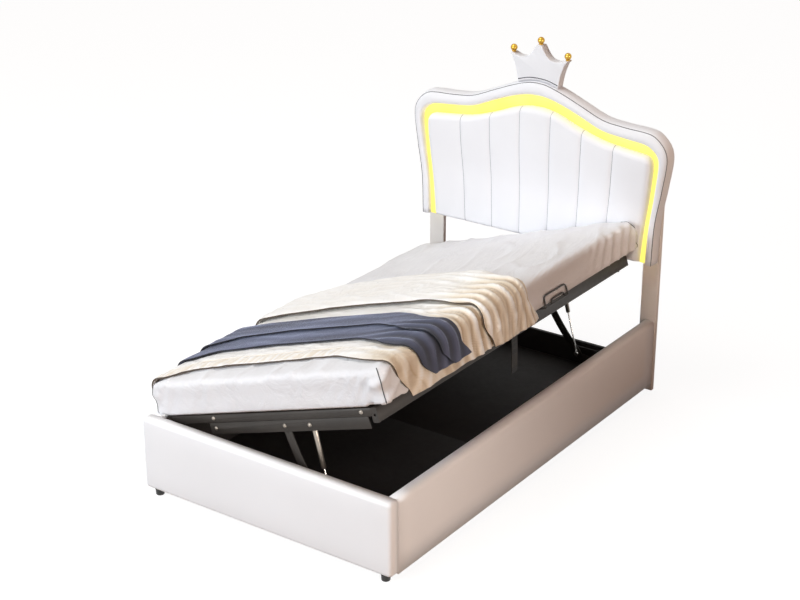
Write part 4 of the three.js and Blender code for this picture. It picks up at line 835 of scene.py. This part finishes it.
def pad_depth(across, x, z):
    """The depth of the pad's surface, which swells in its channels and rolls back at every edge."""
    channel = across / CHANNEL_SHARE + CHANNELS / 2
    last = channel < 1 or channel > CHANNELS - 1
    seam = abs(channel - min(CHANNELS - 1, max(1, round(channel))))
    steep = 2.2 if last else 4.4
    puff = math.sqrt(max(0.0, 1 - (1 - min(1.0, seam * steep)) ** 2))
    front = PAD_SEAM - SEAM_RISE - CHANNEL_PUFF * puff - PAD_SWELL * swelling(z)
    top = line_height(pad_line, abs(across) * pad_corner_x)
    side = line_width(pad_line, min(z, pad_corner_z)) - abs(x)
    roll = 1.0
    for distance, radius in ((top - z, TOP_ROLL), (z - HEAD_LOW, FOOT_ROLL), (side, SIDE_ROLL)):
        roll *= math.sqrt(max(0.0, 1 - (1 - clamp(distance / radius)) ** 2.5))
    return PAD_RIM + (front - PAD_RIM) * roll


def eased(share):
    """A share from -1 to 1, moved so that grid lines crowd at both ends."""
    return 0.6 * share + 0.4 * math.sin(share * math.pi / 2)


def channel_share(share):
    """A share from -1 to 1 across the pad, moved so that grid lines crowd at every seam."""
    channel = (share + 1) / 2 * CHANNELS
    first = min(CHANNELS - 1, int(channel))
    inside = (eased(2 * (channel - first) - 1) + 1) / 2
    start = -1.0 if first == 0 else CHANNEL_SHARE * (first - CHANNELS / 2)
    end = 1.0 if first == CHANNELS - 1 else CHANNEL_SHARE * (first + 1 - CHANNELS / 2)
    return start + (end - start) * inside


def quilted_pad():
    bm = bmesh.new()
    bmesh.ops.create_grid(bm, x_segments=CHANNELS * 18, y_segments=72, size=1)
    for vert in bm.verts:
        across = channel_share(vert.co.x)
        x, z = pad_spot(across, (eased(vert.co.y) + 1) / 2)
        vert.co = (x, pad_depth(across, x, z), z)
    back = bmesh.ops.extrude_face_region(bm, geom=bm.faces[:], use_keep_orig=True)
    for item in back["geom"]:
        if isinstance(item, bmesh.types.BMVert):
            item.co.y = HEAD_BACK
    return bm


pad = finish_piece("headboard_pad_cover", quilted_pad(), head_cover, "box", ["headboard_pad"])

# %% [markdown]
# A thin grey line of thread lies in every seam of the pad. Piping, a cord in a sleeve of cover,
# runs round the edge where the border's front meets its side. Both follow lines that are already
# known.

# %% Add the seams and the piping
THREAD_STEPS, THREAD_LIFT, THREAD_RADIUS = 80, 0.0004, 0.0012
for seam in range(1, CHANNELS):
    across = CHANNEL_SHARE * (seam - CHANNELS / 2)
    points = []
    for i in range(THREAD_STEPS + 1):
        x, z = pad_spot(across, (eased(2 * i / THREAD_STEPS - 1) + 1) / 2)
        points.append((x, pad_depth(across, x, z) - THREAD_LIFT, z))
    tube_along(f"pad_seam_{seam}", points, THREAD_RADIUS, grey_piping, "box")

PIPING_SHARE, PIPING_RADIUS = 0.852, 0.0018
piping_y = BORDER_FRONT + PIPING_RADIUS
piping_line = [(a + (c - a) * PIPING_SHARE, piping_y, b + (d - b) * PIPING_SHARE)
               for (a, b), (c, d) in zip(light_line, outer_line)]
tube_along("border_piping", piping_line, PIPING_RADIUS, soft_piping, "box")

# %% [markdown]
# ## The crown
# It is a flat shape of board and foam in the same cover, with three points. Its outline is filled,
# given its depth and bevelled, which is how such a piece is cut and padded.

# %% Make the crown
CROWN_FRONT, CROWN_DEPTH = along(2005.5), 0.047


def crown_foot(half, steps, lift, bow=0.0):
    """x and z along the headboard's top, under the crown, for a half width."""
    line = []
    for i in range(-steps, steps + 1):
        x = half * i / steps
        line.append((x, line_height(outer_line, abs(x)) + lift + bow * abs(i / steps)))
    return line


def crown_outline():
    base = crown_foot(0.104, 8, 0.0009)
    side = smooth_line([(0.104, base[-1][1]), (0.117, 1.437), (0.137, 1.4905)], 4)[1:]
    tip = [(0.1465, 1.4985), (0.1445, 1.5028), (0.1385, 1.5037)]
    valley = smooth_line([(0.131, 1.5015), (0.108, 1.4935), (0.083, 1.4915), (0.058, 1.4985),
                          (0.036, 1.52), (0.0155, 1.553)], 4)
    right = [tuple(p) for p in (*side, *tip, *valley, (0.0118, 1.5555))]
    return base + right + [(-x, z) for x, z in reversed(right)]


def crown_shape():
    bm = bmesh.new()
    face = bm.faces.new([bm.verts.new((x, CROWN_FRONT, z)) for x, z in crown_outline()])
    pushed = bmesh.ops.extrude_face_region(bm, geom=[face], use_keep_orig=True)
    moved = [v for v in pushed["geom"] if isinstance(v, bmesh.types.BMVert)]
    bmesh.ops.translate(bm, vec=(0, CROWN_DEPTH, 0), verts=moved)
    rims = [e for e in bm.edges if abs(e.verts[0].co.y - e.verts[1].co.y) < 1e-6]
    round_edges(bm, rims, 0.006, 4, clamped=True)
    return bm


crown_piece = finish_piece("crown_cover", crown_shape(), head_cover, "box", ["crown"])
crown_base = [(x, CROWN_FRONT + 0.0005, z) for x, z in crown_foot(0.103, 12, 0.0115, 0.003)]
tube_along("crown_piping", crown_base, 0.0022, dark_piping, "box")


# %% [markdown]
# Each point carries a gilt ball on a collar. Such a turned piece is a profile that is spun round
# its axis.

# %% Spin the balls
def spun(points, axis, centre, steps):
    """Spins a chain of points round an axis, and moves the shape to its centre."""
    bm = bmesh.new()
    edges = chain(bm, points)
    bmesh.ops.spin(bm, geom=edges + bm.verts[:], cent=(0, 0, 0), axis=axis, dvec=(0, 0, 0),
                   angle=math.tau, steps=steps, use_merge=True, use_duplicate=False)
    bmesh.ops.remove_doubles(bm, verts=bm.verts, dist=MERGE / 2)
    bmesh.ops.translate(bm, vec=centre, verts=bm.verts)
    return bm


BALL_STEPS, BALL_END = 22, math.radians(180 - 33)
# the collar's shares of the ball's radius, and its heights
collar = [(0.55, 0.0048), (0.62, 0.0042), (0.62, 0.0008), (0.55, 0), (0, 0)]
for name in ("left", "middle", "right"):
    low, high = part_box(f"crown_ball_{name}")
    radius = (high.x - low.x) / 2
    turns = [BALL_END * i / BALL_STEPS for i in range(BALL_STEPS + 1)]
    middle = high.z - low.z - radius
    ball = [(radius * math.sin(a), 0, middle + radius * math.cos(a)) for a in turns]
    profile = ball + [(radius * share, 0, z) for share, z in collar]
    centre = ((low.x + high.x) / 2, (low.y + high.y) / 2, low.z)
    finish_piece(f"gilt_ball_{name}", spun(profile, (0, 0, 1), centre, 40), gold_leaf, "box",
                 [f"crown_ball_{name}"])

# %% [markdown]
# ## The mattress
# A mattress under a fitted sheet is a block with a rounded rim and slightly hollow sides. A
# bevelled cube gives the rim. A voxel remesh then spreads even faces over it, so that the crown,
# the draw of the sides and the wrinkles of the sheet can be pushed into it point by point.

# %% Make the mattress
MATTRESS_LEFT, MATTRESS_RIGHT = -0.584, 0.624
MATTRESS_FOOT, MATTRESS_HEAD = along(67), along(1993.5)
MATTRESS_BASE, MATTRESS_TOP = 0.3543, 0.492
TOP_RADIUS, BASE_RADIUS, CORNER_RADIUS = 0.034, 0.03, 0.024
CROWN_RISE, CROWN_REACH, LIP_DROP, LIP_HALF = 0.008, 0.23, 0.016, 0.552
VOXEL = 0.0095
FOOT_FRAME, HEAD_FRAME = along(80), along(1983)


def crown_rise(inset):
    """How high the mattress is crowned at a distance in from its edges."""
    return CROWN_RISE * math.sin(clamp(inset / CROWN_REACH) * math.pi / 2)


def mattress_block():
    bm = block(Vector((MATTRESS_LEFT, MATTRESS_FOOT, MATTRESS_BASE)),
               Vector((MATTRESS_RIGHT, MATTRESS_HEAD, MATTRESS_TOP)))
    upright = [e for e in bm.edges if abs(e.verts[0].co.z - e.verts[1].co.z) > 0.01]
    round_edges(bm, upright, CORNER_RADIUS, 8)
    for z, radius in ((MATTRESS_TOP, TOP_RADIUS), (MATTRESS_BASE, BASE_RADIUS)):
        rim = [e for e in bm.edges if all(abs(v.co.z - z) < 1e-6 for v in e.verts)]
        round_edges(bm, rim, radius, 6, clamped=True)
    return bm


def remeshed(bm, voxel):
    """A bmesh with even faces over the same form."""
    rough = new_object("voxels", mesh_of("voxels", bm))
    even = rough.modifiers.new("voxels", "REMESH")
    even.mode = "VOXEL"
    even.voxel_size = voxel
    made = bmesh.new()
    made.from_mesh(evaluated(rough).to_mesh())
    bpy.data.objects.remove(rough)
    return made


def near_side(spot):
    """The distance in from the nearer long side."""
    return min(spot.x - MATTRESS_LEFT, MATTRESS_RIGHT - spot.x)


def sheet_wrinkle(spot, upright):
    """The height of the sheet's wrinkles at a spot. upright is 1 on the walls and 0 on top."""
    along_wall = spot.y if near_side(spot) < 0.05 else spot.x
    to_corner = min(Vector((spot.x - x, spot.y - y)).length for x in (MATTRESS_LEFT, MATTRESS_RIGHT)
                    for y in (MATTRESS_FOOT, MATTRESS_HEAD))
    near = math.exp(-to_corner / 0.22)
    warp = noise.noise(Vector((along_wall * 5, spot.z * 6, 2.5)))
    drape = 0.5 + 0.5 * math.sin(math.tau * (along_wall - 0.7 * spot.z + 0.06 * warp) / 0.068)
    slack = 1.6 if MATTRESS_RIGHT - spot.x < 0.05 else 0.7
    broad = noise.noise(Vector((spot.x * 4, spot.y * 2.2, spot.z * 4)))
    short = noise.noise(Vector((spot.x * 17 + 7, spot.y * 7 + spot.x * 6, spot.z * 6)))
    line = noise.noise(Vector((spot.x * 5 + spot.y * 1.5, spot.y * 2.2 - spot.x, 4)))
    drawn = max(0.0, 1 - abs(line) * 4) ** 2
    loose = max(0.0, noise.noise(Vector((along_wall * 2.3, 8.5, 1.5))) + 0.24)
    wall = slack * (0.006 * near + 0.011 * loose) * drape ** 1.5 + 0.003 * broad + 0.002 * warp
    return upright * wall + (1 - upright) * (0.003 * broad + 0.0024 * short + 0.0075 * drawn)


def mattress_move(spot, out):
    """How far a point of the block is pushed, for its place and the way that it faces."""
    move = out * sheet_wrinkle(spot, clamp(1.4 * (1 - abs(out.z))))
    if out.z > 0.1:
        inset = min(near_side(spot), spot.y - MATTRESS_FOOT, MATTRESS_HEAD - spot.y)
        move = move + Vector((0, 0, crown_rise(inset) * out.z))
    if abs(out.z) < 0.6:
        side = max(0.0, 1 - abs(spot.z - (MATTRESS_BASE + MATTRESS_TOP) / 2) / 0.05)
        move = move - Vector((out.x, out.y, 0)) * 0.002 * side
    if out.z < -0.6:
        move = Vector((0, 0, 0))
    if spot.y < FOOT_FRAME - 0.003 and spot.z < 0.4:
        inside = clamp((LIP_HALF - abs(spot.x)) / 0.03)
        move = move - Vector((0, 0, LIP_DROP * inside * (0.4 - spot.z) / (0.4 - MATTRESS_BASE)))
    return move


def mattress_form():
    bm = remeshed(mattress_block(), VOXEL)
    for _ in range(3):
        bmesh.ops.smooth_vert(bm, verts=bm.verts, factor=0.5, use_axis_x=True, use_axis_y=True,
                              use_axis_z=True)
    bm.normal_update()
    moves = [mattress_move(vert.co, vert.normal) for vert in bm.verts]
    for vert, move in zip(bm.verts, moves):
        vert.co += move
    return bm


mattress_shape = mattress_form()
mattress_surface = BVHTree.FromBMesh(mattress_shape)
mattress = finish_piece("mattress_sheet", mattress_shape, sheet_cotton, "platform", ["mattress"],
                        tilt=True)


# %% [markdown]
# Dark piping runs down each corner of the sheet. Its points are found by rays that are shot at the
# finished mattress, so the line follows every wrinkle.

# %% Add the mattress's corner seams
SEAM_LIFT = 0.0006


def corner_seam(name, x, y, sign_x, sign_y):
    """A line of piping laid on the mattress's surface down one corner."""
    outward = Vector((sign_x, sign_y, 0)).normalized()
    points = []
    for i in range(27):
        z = MATTRESS_BASE + 0.006 + (MATTRESS_TOP - 0.004 - MATTRESS_BASE) * i / 26
        hit = mattress_surface.ray_cast(Vector((x, y, z)) + outward * 0.05, -outward, 0.2)[0]
        if hit is not None:
            points.append(tuple(hit + outward * SEAM_LIFT))
    tube_along(name, points, 0.002, dark_piping, "platform", tilt=True)


for end, y, sign_y in (("foot", MATTRESS_FOOT, -1), ("head", MATTRESS_HEAD, 1)):
    for side, x, sign_x in (("right", MATTRESS_RIGHT, 1), ("left", MATTRESS_LEFT, -1)):
        corner_seam(f"corner_seam_{end}_{side}", x, y, sign_x, sign_y)

# %% [markdown]
# ## Bright bolts
# The frame is black, but the domed bolts that hold it are bright zinc. Each one is a small spun cap
# with a washer under it, and sits over the plain head that the frame already has.

# %% Spin the bolt caps
BOLT_PROFILE = [(0, -0.0047), (0.0034, -0.0045), (0.0059, -0.0039), (0.0075, -0.0022),
                (0.0077, -0.0007), (0.0092, -0.0007), (0.0092, -0.0001), (0, -0.0001)]
FRAME_BOLT_Z, LIFT_BOLT_Z, BAR_STEP = 0.3299, 0.286, 0.0036


def bolt_cap(name, x, y, z, facing):
    """A domed cap on a face across y. facing is -1 towards the foot end and 1 towards the head."""
    cap = spun([(r, -facing * h, 0) for r, h in BOLT_PROFILE], (0, 1, 0), (x, y, z), 20)
    finish_piece(name, cap, zinc, "platform", tilt=True)


for end, facing, frame_y in (("foot", -1, FOOT_FRAME), ("head", 1, HEAD_FRAME)):
    for i, x in enumerate((-0.288, 0.480)):
        bolt_cap(f"frame_bolt_{end}_{i}", x, frame_y, FRAME_BOLT_Z, facing)
    for i, x in enumerate((-0.292, 0.078, 0.207)):
        bolt_cap(f"lift_bolt_{end}_{i}", x, frame_y - facing * BAR_STEP, LIFT_BOLT_Z, facing)

# %% [markdown]
# ## The quilt and the throw
# A quilt is one long sheet that lies over the mattress, hangs down at both sides and is turned back
# on itself at its upper end. A fine grid carries it: across the bed it follows the mattress's
# section, and along the bed it runs up, round the turn and back down. Draping it by simulation
# would lose the turn, so the path is drawn and wrinkled in code.

# %% The way over the mattress
LEFT_HEM, RIGHT_HEM = 0.382, 0.34
across_shares = [0, 0.09, 0.2, 0.39, 0.66, 0.88, 0.93, 1]
quilt_foot_shares = [0.017, 0.012, 0.053, 0.064, 0.076, 0.037, 0.044, 0.07]
throw_foot_shares = [0.102, 0.1, 0.14, 0.155, 0.158, 0.104, 0.112, 0.156]
throw_head_shares = [0.302, 0.3, 0.307, 0.311, 0.304, 0.249, 0.246, 0.275]
fold_foot_shares = [0.364, 0.367, 0.377, 0.394, 0.387, 0.343, 0.331, 0.347]
quilt_head_shares = [0.546, 0.556, 0.603, 0.625, 0.612, 0.525, 0.51, 0.529]
LENGTH = MATTRESS_HEAD - MATTRESS_FOOT


def between(shares, across):
    """A smooth value of a table at a share of the way across."""
    i = 0
    while i + 2 < len(across_shares) and across > across_shares[i + 1]:
        i += 1
    part = ramp_up(across, across_shares[i], across_shares[i + 1])
    return shares[i] + (shares[i + 1] - shares[i]) * part


def edge_line(shares, across):
    """The y of a cover's edge at a share of the way across."""
    return MATTRESS_FOOT + LENGTH * between(shares, across)


SHOULDER = MATTRESS_TOP - TOP_RADIUS
QUARTER = TOP_RADIUS * math.pi / 2
left_drop, right_drop = SHOULDER - LEFT_HEM, SHOULDER - RIGHT_HEM
flat_width = MATTRESS_RIGHT - MATTRESS_LEFT - 2 * TOP_RADIUS
PATH = left_drop + QUARTER + flat_width + QUARTER + right_drop


def round_shoulder(centre_x, a, rise):
    """What over gives for an angle a round one of the mattress's upper edges."""
    x, z = math.cos(a), math.sin(a)
    return centre_x + TOP_RADIUS * x, SHOULDER + TOP_RADIUS * z, x, z, 0.0, rise


def over(across):
    """Place, outward direction, hang and rise at a share of the way over the mattress."""
    s = across * PATH
    if s < left_drop:
        return MATTRESS_LEFT, LEFT_HEM + s, -1.0, 0.0, (left_drop - s) / right_drop, 0.0
    s -= left_drop
    if s < QUARTER:
        return round_shoulder(MATTRESS_LEFT + TOP_RADIUS, math.pi - s / TOP_RADIUS, s / QUARTER)
    s -= QUARTER
    if s < flat_width:
        return MATTRESS_LEFT + TOP_RADIUS + s, MATTRESS_TOP, 0.0, 1.0, 0.0, 1.0
    s -= flat_width
    if s < QUARTER:
        a = math.pi / 2 - s / TOP_RADIUS
        return round_shoulder(MATTRESS_RIGHT - TOP_RADIUS, a, 1 - s / QUARTER)
    s -= QUARTER
    return MATTRESS_RIGHT, SHOULDER - s, 1.0, 0.0, s / right_drop, 0.0


def cover_spot(across, y, distance):
    """A spot over the mattress at a distance out from it."""
    x, z, out_x, out_z, hang, rise = over(clamp(across))
    to_end = max(TOP_RADIUS, min(y - MATTRESS_FOOT, MATTRESS_HEAD - y))
    up = crown_rise(min(x - MATTRESS_LEFT, MATTRESS_RIGHT - x, to_end)) * rise
    sway = 0.009 * hang * (0.5 + 0.5 * math.sin((y - FOOT - 0.078) / LENGTH * 70))
    reach = distance + sway
    return Vector((x + out_x * reach, y, z + up + out_z * reach))


print("way over the mattress", round(PATH, 3))


# %% [markdown]
# A cloth is a grid whose points are placed one by one, each with its painted shading. A Solidify
# modifier gives it a thickness, and a darker material on its rim, a painted shadow line under the
# hem.

# %% Helpers for cloth grids
def thicken(made, thickness):
    """Gives a sheet a wall, half of it on either side."""
    wall = made.modifiers.new("thickness", "SOLIDIFY")
    wall.thickness = thickness
    wall.offset = 0
    return wall


def cloth_grid(name, columns, rows, spot, thickness, material, rim, replaced):
    """A cloth of columns by rows. spot gives a place and painted shading for shares across and
    along.
    """
    bm = bmesh.new()
    bmesh.ops.create_grid(bm, x_segments=columns, y_segments=rows, size=1, calc_uvs=True)
    lay = bm.loops.layers.uv.verify()
    painted_shading_layer = bm.verts.layers.float.new("painted_shading")
    for face in bm.faces:
        for loop in face.loops:
            loop[lay].uv = ((loop.vert.co.x + 1) / 2, (loop.vert.co.y + 1) / 2)
    for vert in bm.verts:
        vert.co, painted_shading = spot((vert.co.x + 1) / 2, (vert.co.y + 1) / 2)
        vert[painted_shading_layer] = clamp(painted_shading)
    bmesh.ops.transform(bm, matrix=open_up, verts=bm.verts)
    made = dress(name, mesh_of(name, bm), [material, rim], "platform", replaced)
    # the rim's darker material is a painted shadow line under the hem
    thicken(made, thickness).material_offset_rim = 1
    return made


def ridge(x, y, seed):
    """Sharp wrinkle crests from 0 to 1."""
    return max(0.0, 1 - abs(noise.noise(Vector((x, y, seed)))) * 2.6) ** 2


def folds(across, y, period, lean, seed, narrow):
    """Crests from 0 to 1 of folds that run across the bed, with a wandering path and height."""
    x = across * PATH
    warp = 0.075 * noise.noise(Vector((x * 2.2, y * 3, seed)))
    warp += 0.022 * noise.noise(Vector((x * 7, y * 9, seed)))
    wave = 0.5 + 0.5 * math.cos(math.tau * (y + warp + lean * x) / period)
    rise = 0.55 + 1.5 * noise.noise(Vector((x * 3.2, y * 8, seed + 3)))
    return wave ** narrow * clamp(rise, 0.05)


# %% [markdown]
# Satin laid over an edge falls in folds that run across the bed and deepen where it hangs. Cosine
# crests with a wandering path make them, and noise breaks their rhythm. The throw presses the quilt
# flat where it lies, and a stitched hem gathers it at its foot.

# %% Lay the quilt
# The third value paints the quilt's rolled turn light, as a lit crest.
QUILT_HALF, TURN, TURN_PAINTED_LIGHT, PUFF = 0.0034, 0.0065, 0.85, 0.009
QUILT_REST = 0.0016 + QUILT_HALF


def under_throw(across, y):
    """How far the throw presses the quilt flat, from 0 to 1."""
    foot, head = edge_line(throw_foot_shares, across), edge_line(throw_head_shares, across)
    return ramp_up(y, foot - 0.004, foot + 0.02) * (1 - ramp_up(y, head - 0.02, head + 0.004))


LOWER = {"period": 0.056, "broad": 0.0022, "fine": 0.002, "long": 0.0015, "side_long": 0.0095,
         "side_small": 0.0035, "full": 0.0055, "side_full": 0.0105}
UPPER = {"period": 0.062, "broad": 0.0028, "fine": 0.0024, "long": 0.0022, "side_long": 0.0135,
         "side_small": 0.005, "full": 0.0075, "side_full": 0.014}


def quilt_height(across, y, layer):
    """The height of a layer's wrinkles above its lowest level, and their painted shading."""
    x = across * PATH
    side = ramp_up(across, 0.56, 0.84)
    if layer is LOWER:
        throw_head = edge_line(throw_head_shares, across)
        side *= 0.12 + 0.88 * ramp_up(y, throw_head - 0.03, throw_head + 0.04)
    broad = 0.5 + noise.noise(Vector((x * 2.2, y * 6.0 - x * 3, 5.7)))
    fine = ridge(x * 7, y * 15 + x * 2, 3.1)
    long = folds(across, y, layer["period"], lean=0.3, seed=7.3, narrow=2.4)
    small = folds(across, y, 0.034, lean=0.45, seed=2.9, narrow=1.6)
    height = layer["broad"] * broad + layer["fine"] * fine
    height += (layer["long"] + layer["side_long"] * side) * long
    height += layer["side_small"] * side * small
    painted_shading = height / (layer["full"] + layer["side_full"] * side)
    # painted light: the top is pushed towards white, and the right side keeps its dark fold shade
    return max(0.0, height), painted_shading + (0.82 - 0.72 * ramp_up(across, 0.7, 0.9)) * (1 - painted_shading)


def hem_gathers(across, y, s):
    """The foot hem at a way s in from it: its gathered band, the gathers and the stitched line."""
    calm = ramp_up(across, 0.62, 0.76)
    band = (1 - ramp_up(s, 0.055, 0.105)) * ramp_up(s, 0.0, 0.012) * (1 - 0.9 * calm)
    wander = 6 * noise.noise(Vector((across * 26, y * 9, 4.4)))
    pucker = 0.5 + 0.5 * math.sin(across * PATH * 190 + wander)
    pucker *= 0.55 + 0.9 * noise.noise(Vector((across * 40, y * 20, 6.1))) + 0.3
    stitch = math.exp(-((s - 0.078) / 0.007) ** 2) * (1 - 0.7 * calm)
    return band, pucker, stitch


def quilt_spot(across, run):
    """A spot and painted shading of the quilt, whose run goes up the bed, round the turn and back.
    """
    wobble = 0.005 * noise.noise(Vector((across * 14, 3.3, 0)))
    foot = edge_line(quilt_foot_shares, across) + wobble * 0.5
    head = edge_line(quilt_head_shares, across) - 0.012
    fold = edge_line(fold_foot_shares, across) + wobble
    lower, upper = head - foot, head - fold
    bend = math.pi * TURN
    s = run * (lower + bend + upper)
    if s < lower:
        y = foot + s
        wave, painted_shading = quilt_height(across, y, LOWER)
        pressed = max(under_throw(across, y), ramp_up(y, fold - 0.02, fold + 0.02))
        band, pucker, stitch = hem_gathers(across, y, s)
        lift = 0.0045 + (PUFF - 0.0045) * ramp_up(s, -0.02, 0.045)
        lift -= 0.7 * PUFF * (1 - ramp_up(head - y, 0.0, 0.12))
        lift += band * (0.0035 * clamp(pucker, 0.0, 1.2)) - 0.004 * stitch
        # painted shading: lighter on the gathers' crests, darker in the stitched line's hollow
        painted_shading = painted_shading * (1 - 0.45 * band) + 0.45 * band * pucker - 0.35 * stitch
        wave *= (1 - 0.65 * pressed) * (1 - 0.4 * band)
        return cover_spot(across, y, QUILT_REST + lift + wave), painted_shading
    ledge = QUILT_REST + 0.3 * PUFF + 0.0052
    s -= lower
    if s < bend:
        a = s / TURN
        height = ledge + TURN * (1 - math.cos(a))
        return cover_spot(across, head + TURN * math.sin(a), height), TURN_PAINTED_LIGHT
    s -= bend
    y = head - s
    to_hem = upper - s
    wave, painted_shading = quilt_height(across, y, UPPER)
    settle = ramp_up(s, 0.0, 0.05)
    puff = 0.006 * ramp_up(to_hem, -0.01, 0.03) * settle + 0.7 * PUFF * ramp_up(s, 0.0, 0.12)
    wave *= (0.25 + 0.75 * settle) * (0.3 + 0.7 * ramp_up(to_hem, 0.0, 0.05))
    return cover_spot(across, y, ledge + 2 * TURN + puff + wave), painted_shading


quilt = cloth_grid("quilt_cover", 156, 300, quilt_spot, 2 * QUILT_HALF, satin, hem_shade,
                   ["quilt"])

# %% [markdown]
# The throw is a thinner cloth, folded lengthwise so that its upper layer ends in a hem halfway
# across its width.

# %% Lay the throw
THROW_HALF, THROW_TURN = 0.0026, 0.0048
throw_left_share, throw_right_share = 0.018, 0.976
THROW_REST = QUILT_REST + QUILT_HALF + PUFF + 0.0062 + THROW_HALF


def throw_height(across, y):
    """The height of the throw's wrinkles and their painted shading."""
    x = across * PATH
    side = ramp_up(across, 0.68, 0.86) * (1 - 0.6 * ramp_up(across, 0.93, 1.0))
    broad = 0.5 + noise.noise(Vector((x * 1.6, y * 11 - x * 2, 2.2)))
    long = folds(across, y, 0.078, lean=0.06, seed=11.3, narrow=1.4)
    height = 0.003 * broad + (0.0018 + 0.0068 * side) * long
    painted_shading = 0.75 * broad + 0.35 * long
    # painted shade: the right side hangs darker, lit only on its fold crests
    return max(0.0, height), painted_shading * (1 - side) + side * (0.6 * long + 0.06)


def throw_spot(share, run):
    """A spot and painted shading of the throw, whose run goes up it, round the turn and half way
    back.
    """
    across = throw_left_share + (throw_right_share - throw_left_share) * share
    foot, head = edge_line(throw_foot_shares, across), edge_line(throw_head_shares, across)
    width = head - foot
    split = foot + width * (0.4 + 0.09 * ramp_up(across, 0.0, 0.4))
    bend = math.pi * THROW_TURN
    lower, upper = width - THROW_TURN, head - split
    s = run * (lower + bend + upper)
    if s < lower:
        wave, painted_shading = throw_height(across, foot + s)
        return cover_spot(across, foot + s, THROW_REST + wave), painted_shading
    if s < lower + bend:
        a = (s - lower) / THROW_TURN
        y = foot + lower
        wave, painted_shading = throw_height(across, y)
        height = THROW_REST + wave + THROW_TURN * (1 - math.cos(a))
        return cover_spot(across, y + THROW_TURN * math.sin(a), height), painted_shading
    s -= lower + bend
    y = head - THROW_TURN - s
    wave, painted_shading = throw_height(across, y)
    lip = 0.002 * math.exp(-((upper - s) / 0.01) ** 2)
    return cover_spot(across, y, THROW_REST + wave + 2 * THROW_TURN + lip), painted_shading


throw = cloth_grid("throw_cover", 230, 170, throw_spot, 2 * THROW_HALF, navy, navy_hem_shadow,
                   ["throw"])


# %% [markdown]
# ## The pull strap
# A loop of webbing hangs under the open side, to pull the platform down. It hangs upright at every
# tilt, so it is made in the row's own upright directions and rides on a body of its own.

# %% Make the strap
def pull_strap():
    bm = bmesh.new()
    low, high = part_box("pull_strap")
    length, centre = high.z - low.z, (low.x + high.x) / 2
    bmesh.ops.create_grid(bm, x_segments=12, y_segments=40, size=1)
    for vert in bm.verts:
        share_y, share_z = (vert.co.x + 1) / 2, (vert.co.y + 1) / 2
        sway = 0.0022 * math.sin((1 - share_z) * math.pi)
        hem = 0.0012 if share_z < 0.17 else 0.0
        x = centre - 0.0015 + 0.003 * (1 - share_z) + sway + hem
        z = low.z + 0.001 + (length - 0.001) * share_z
        vert.co = (x, low.y + (high.y - low.y) * share_y, z)
    return bm


STRAP_THICKNESS = 0.0026
strap = finish_piece("pull_strap_webbing", pull_strap(), webbing, "strap", ["pull_strap"])
thicken(strap, STRAP_THICKNESS)
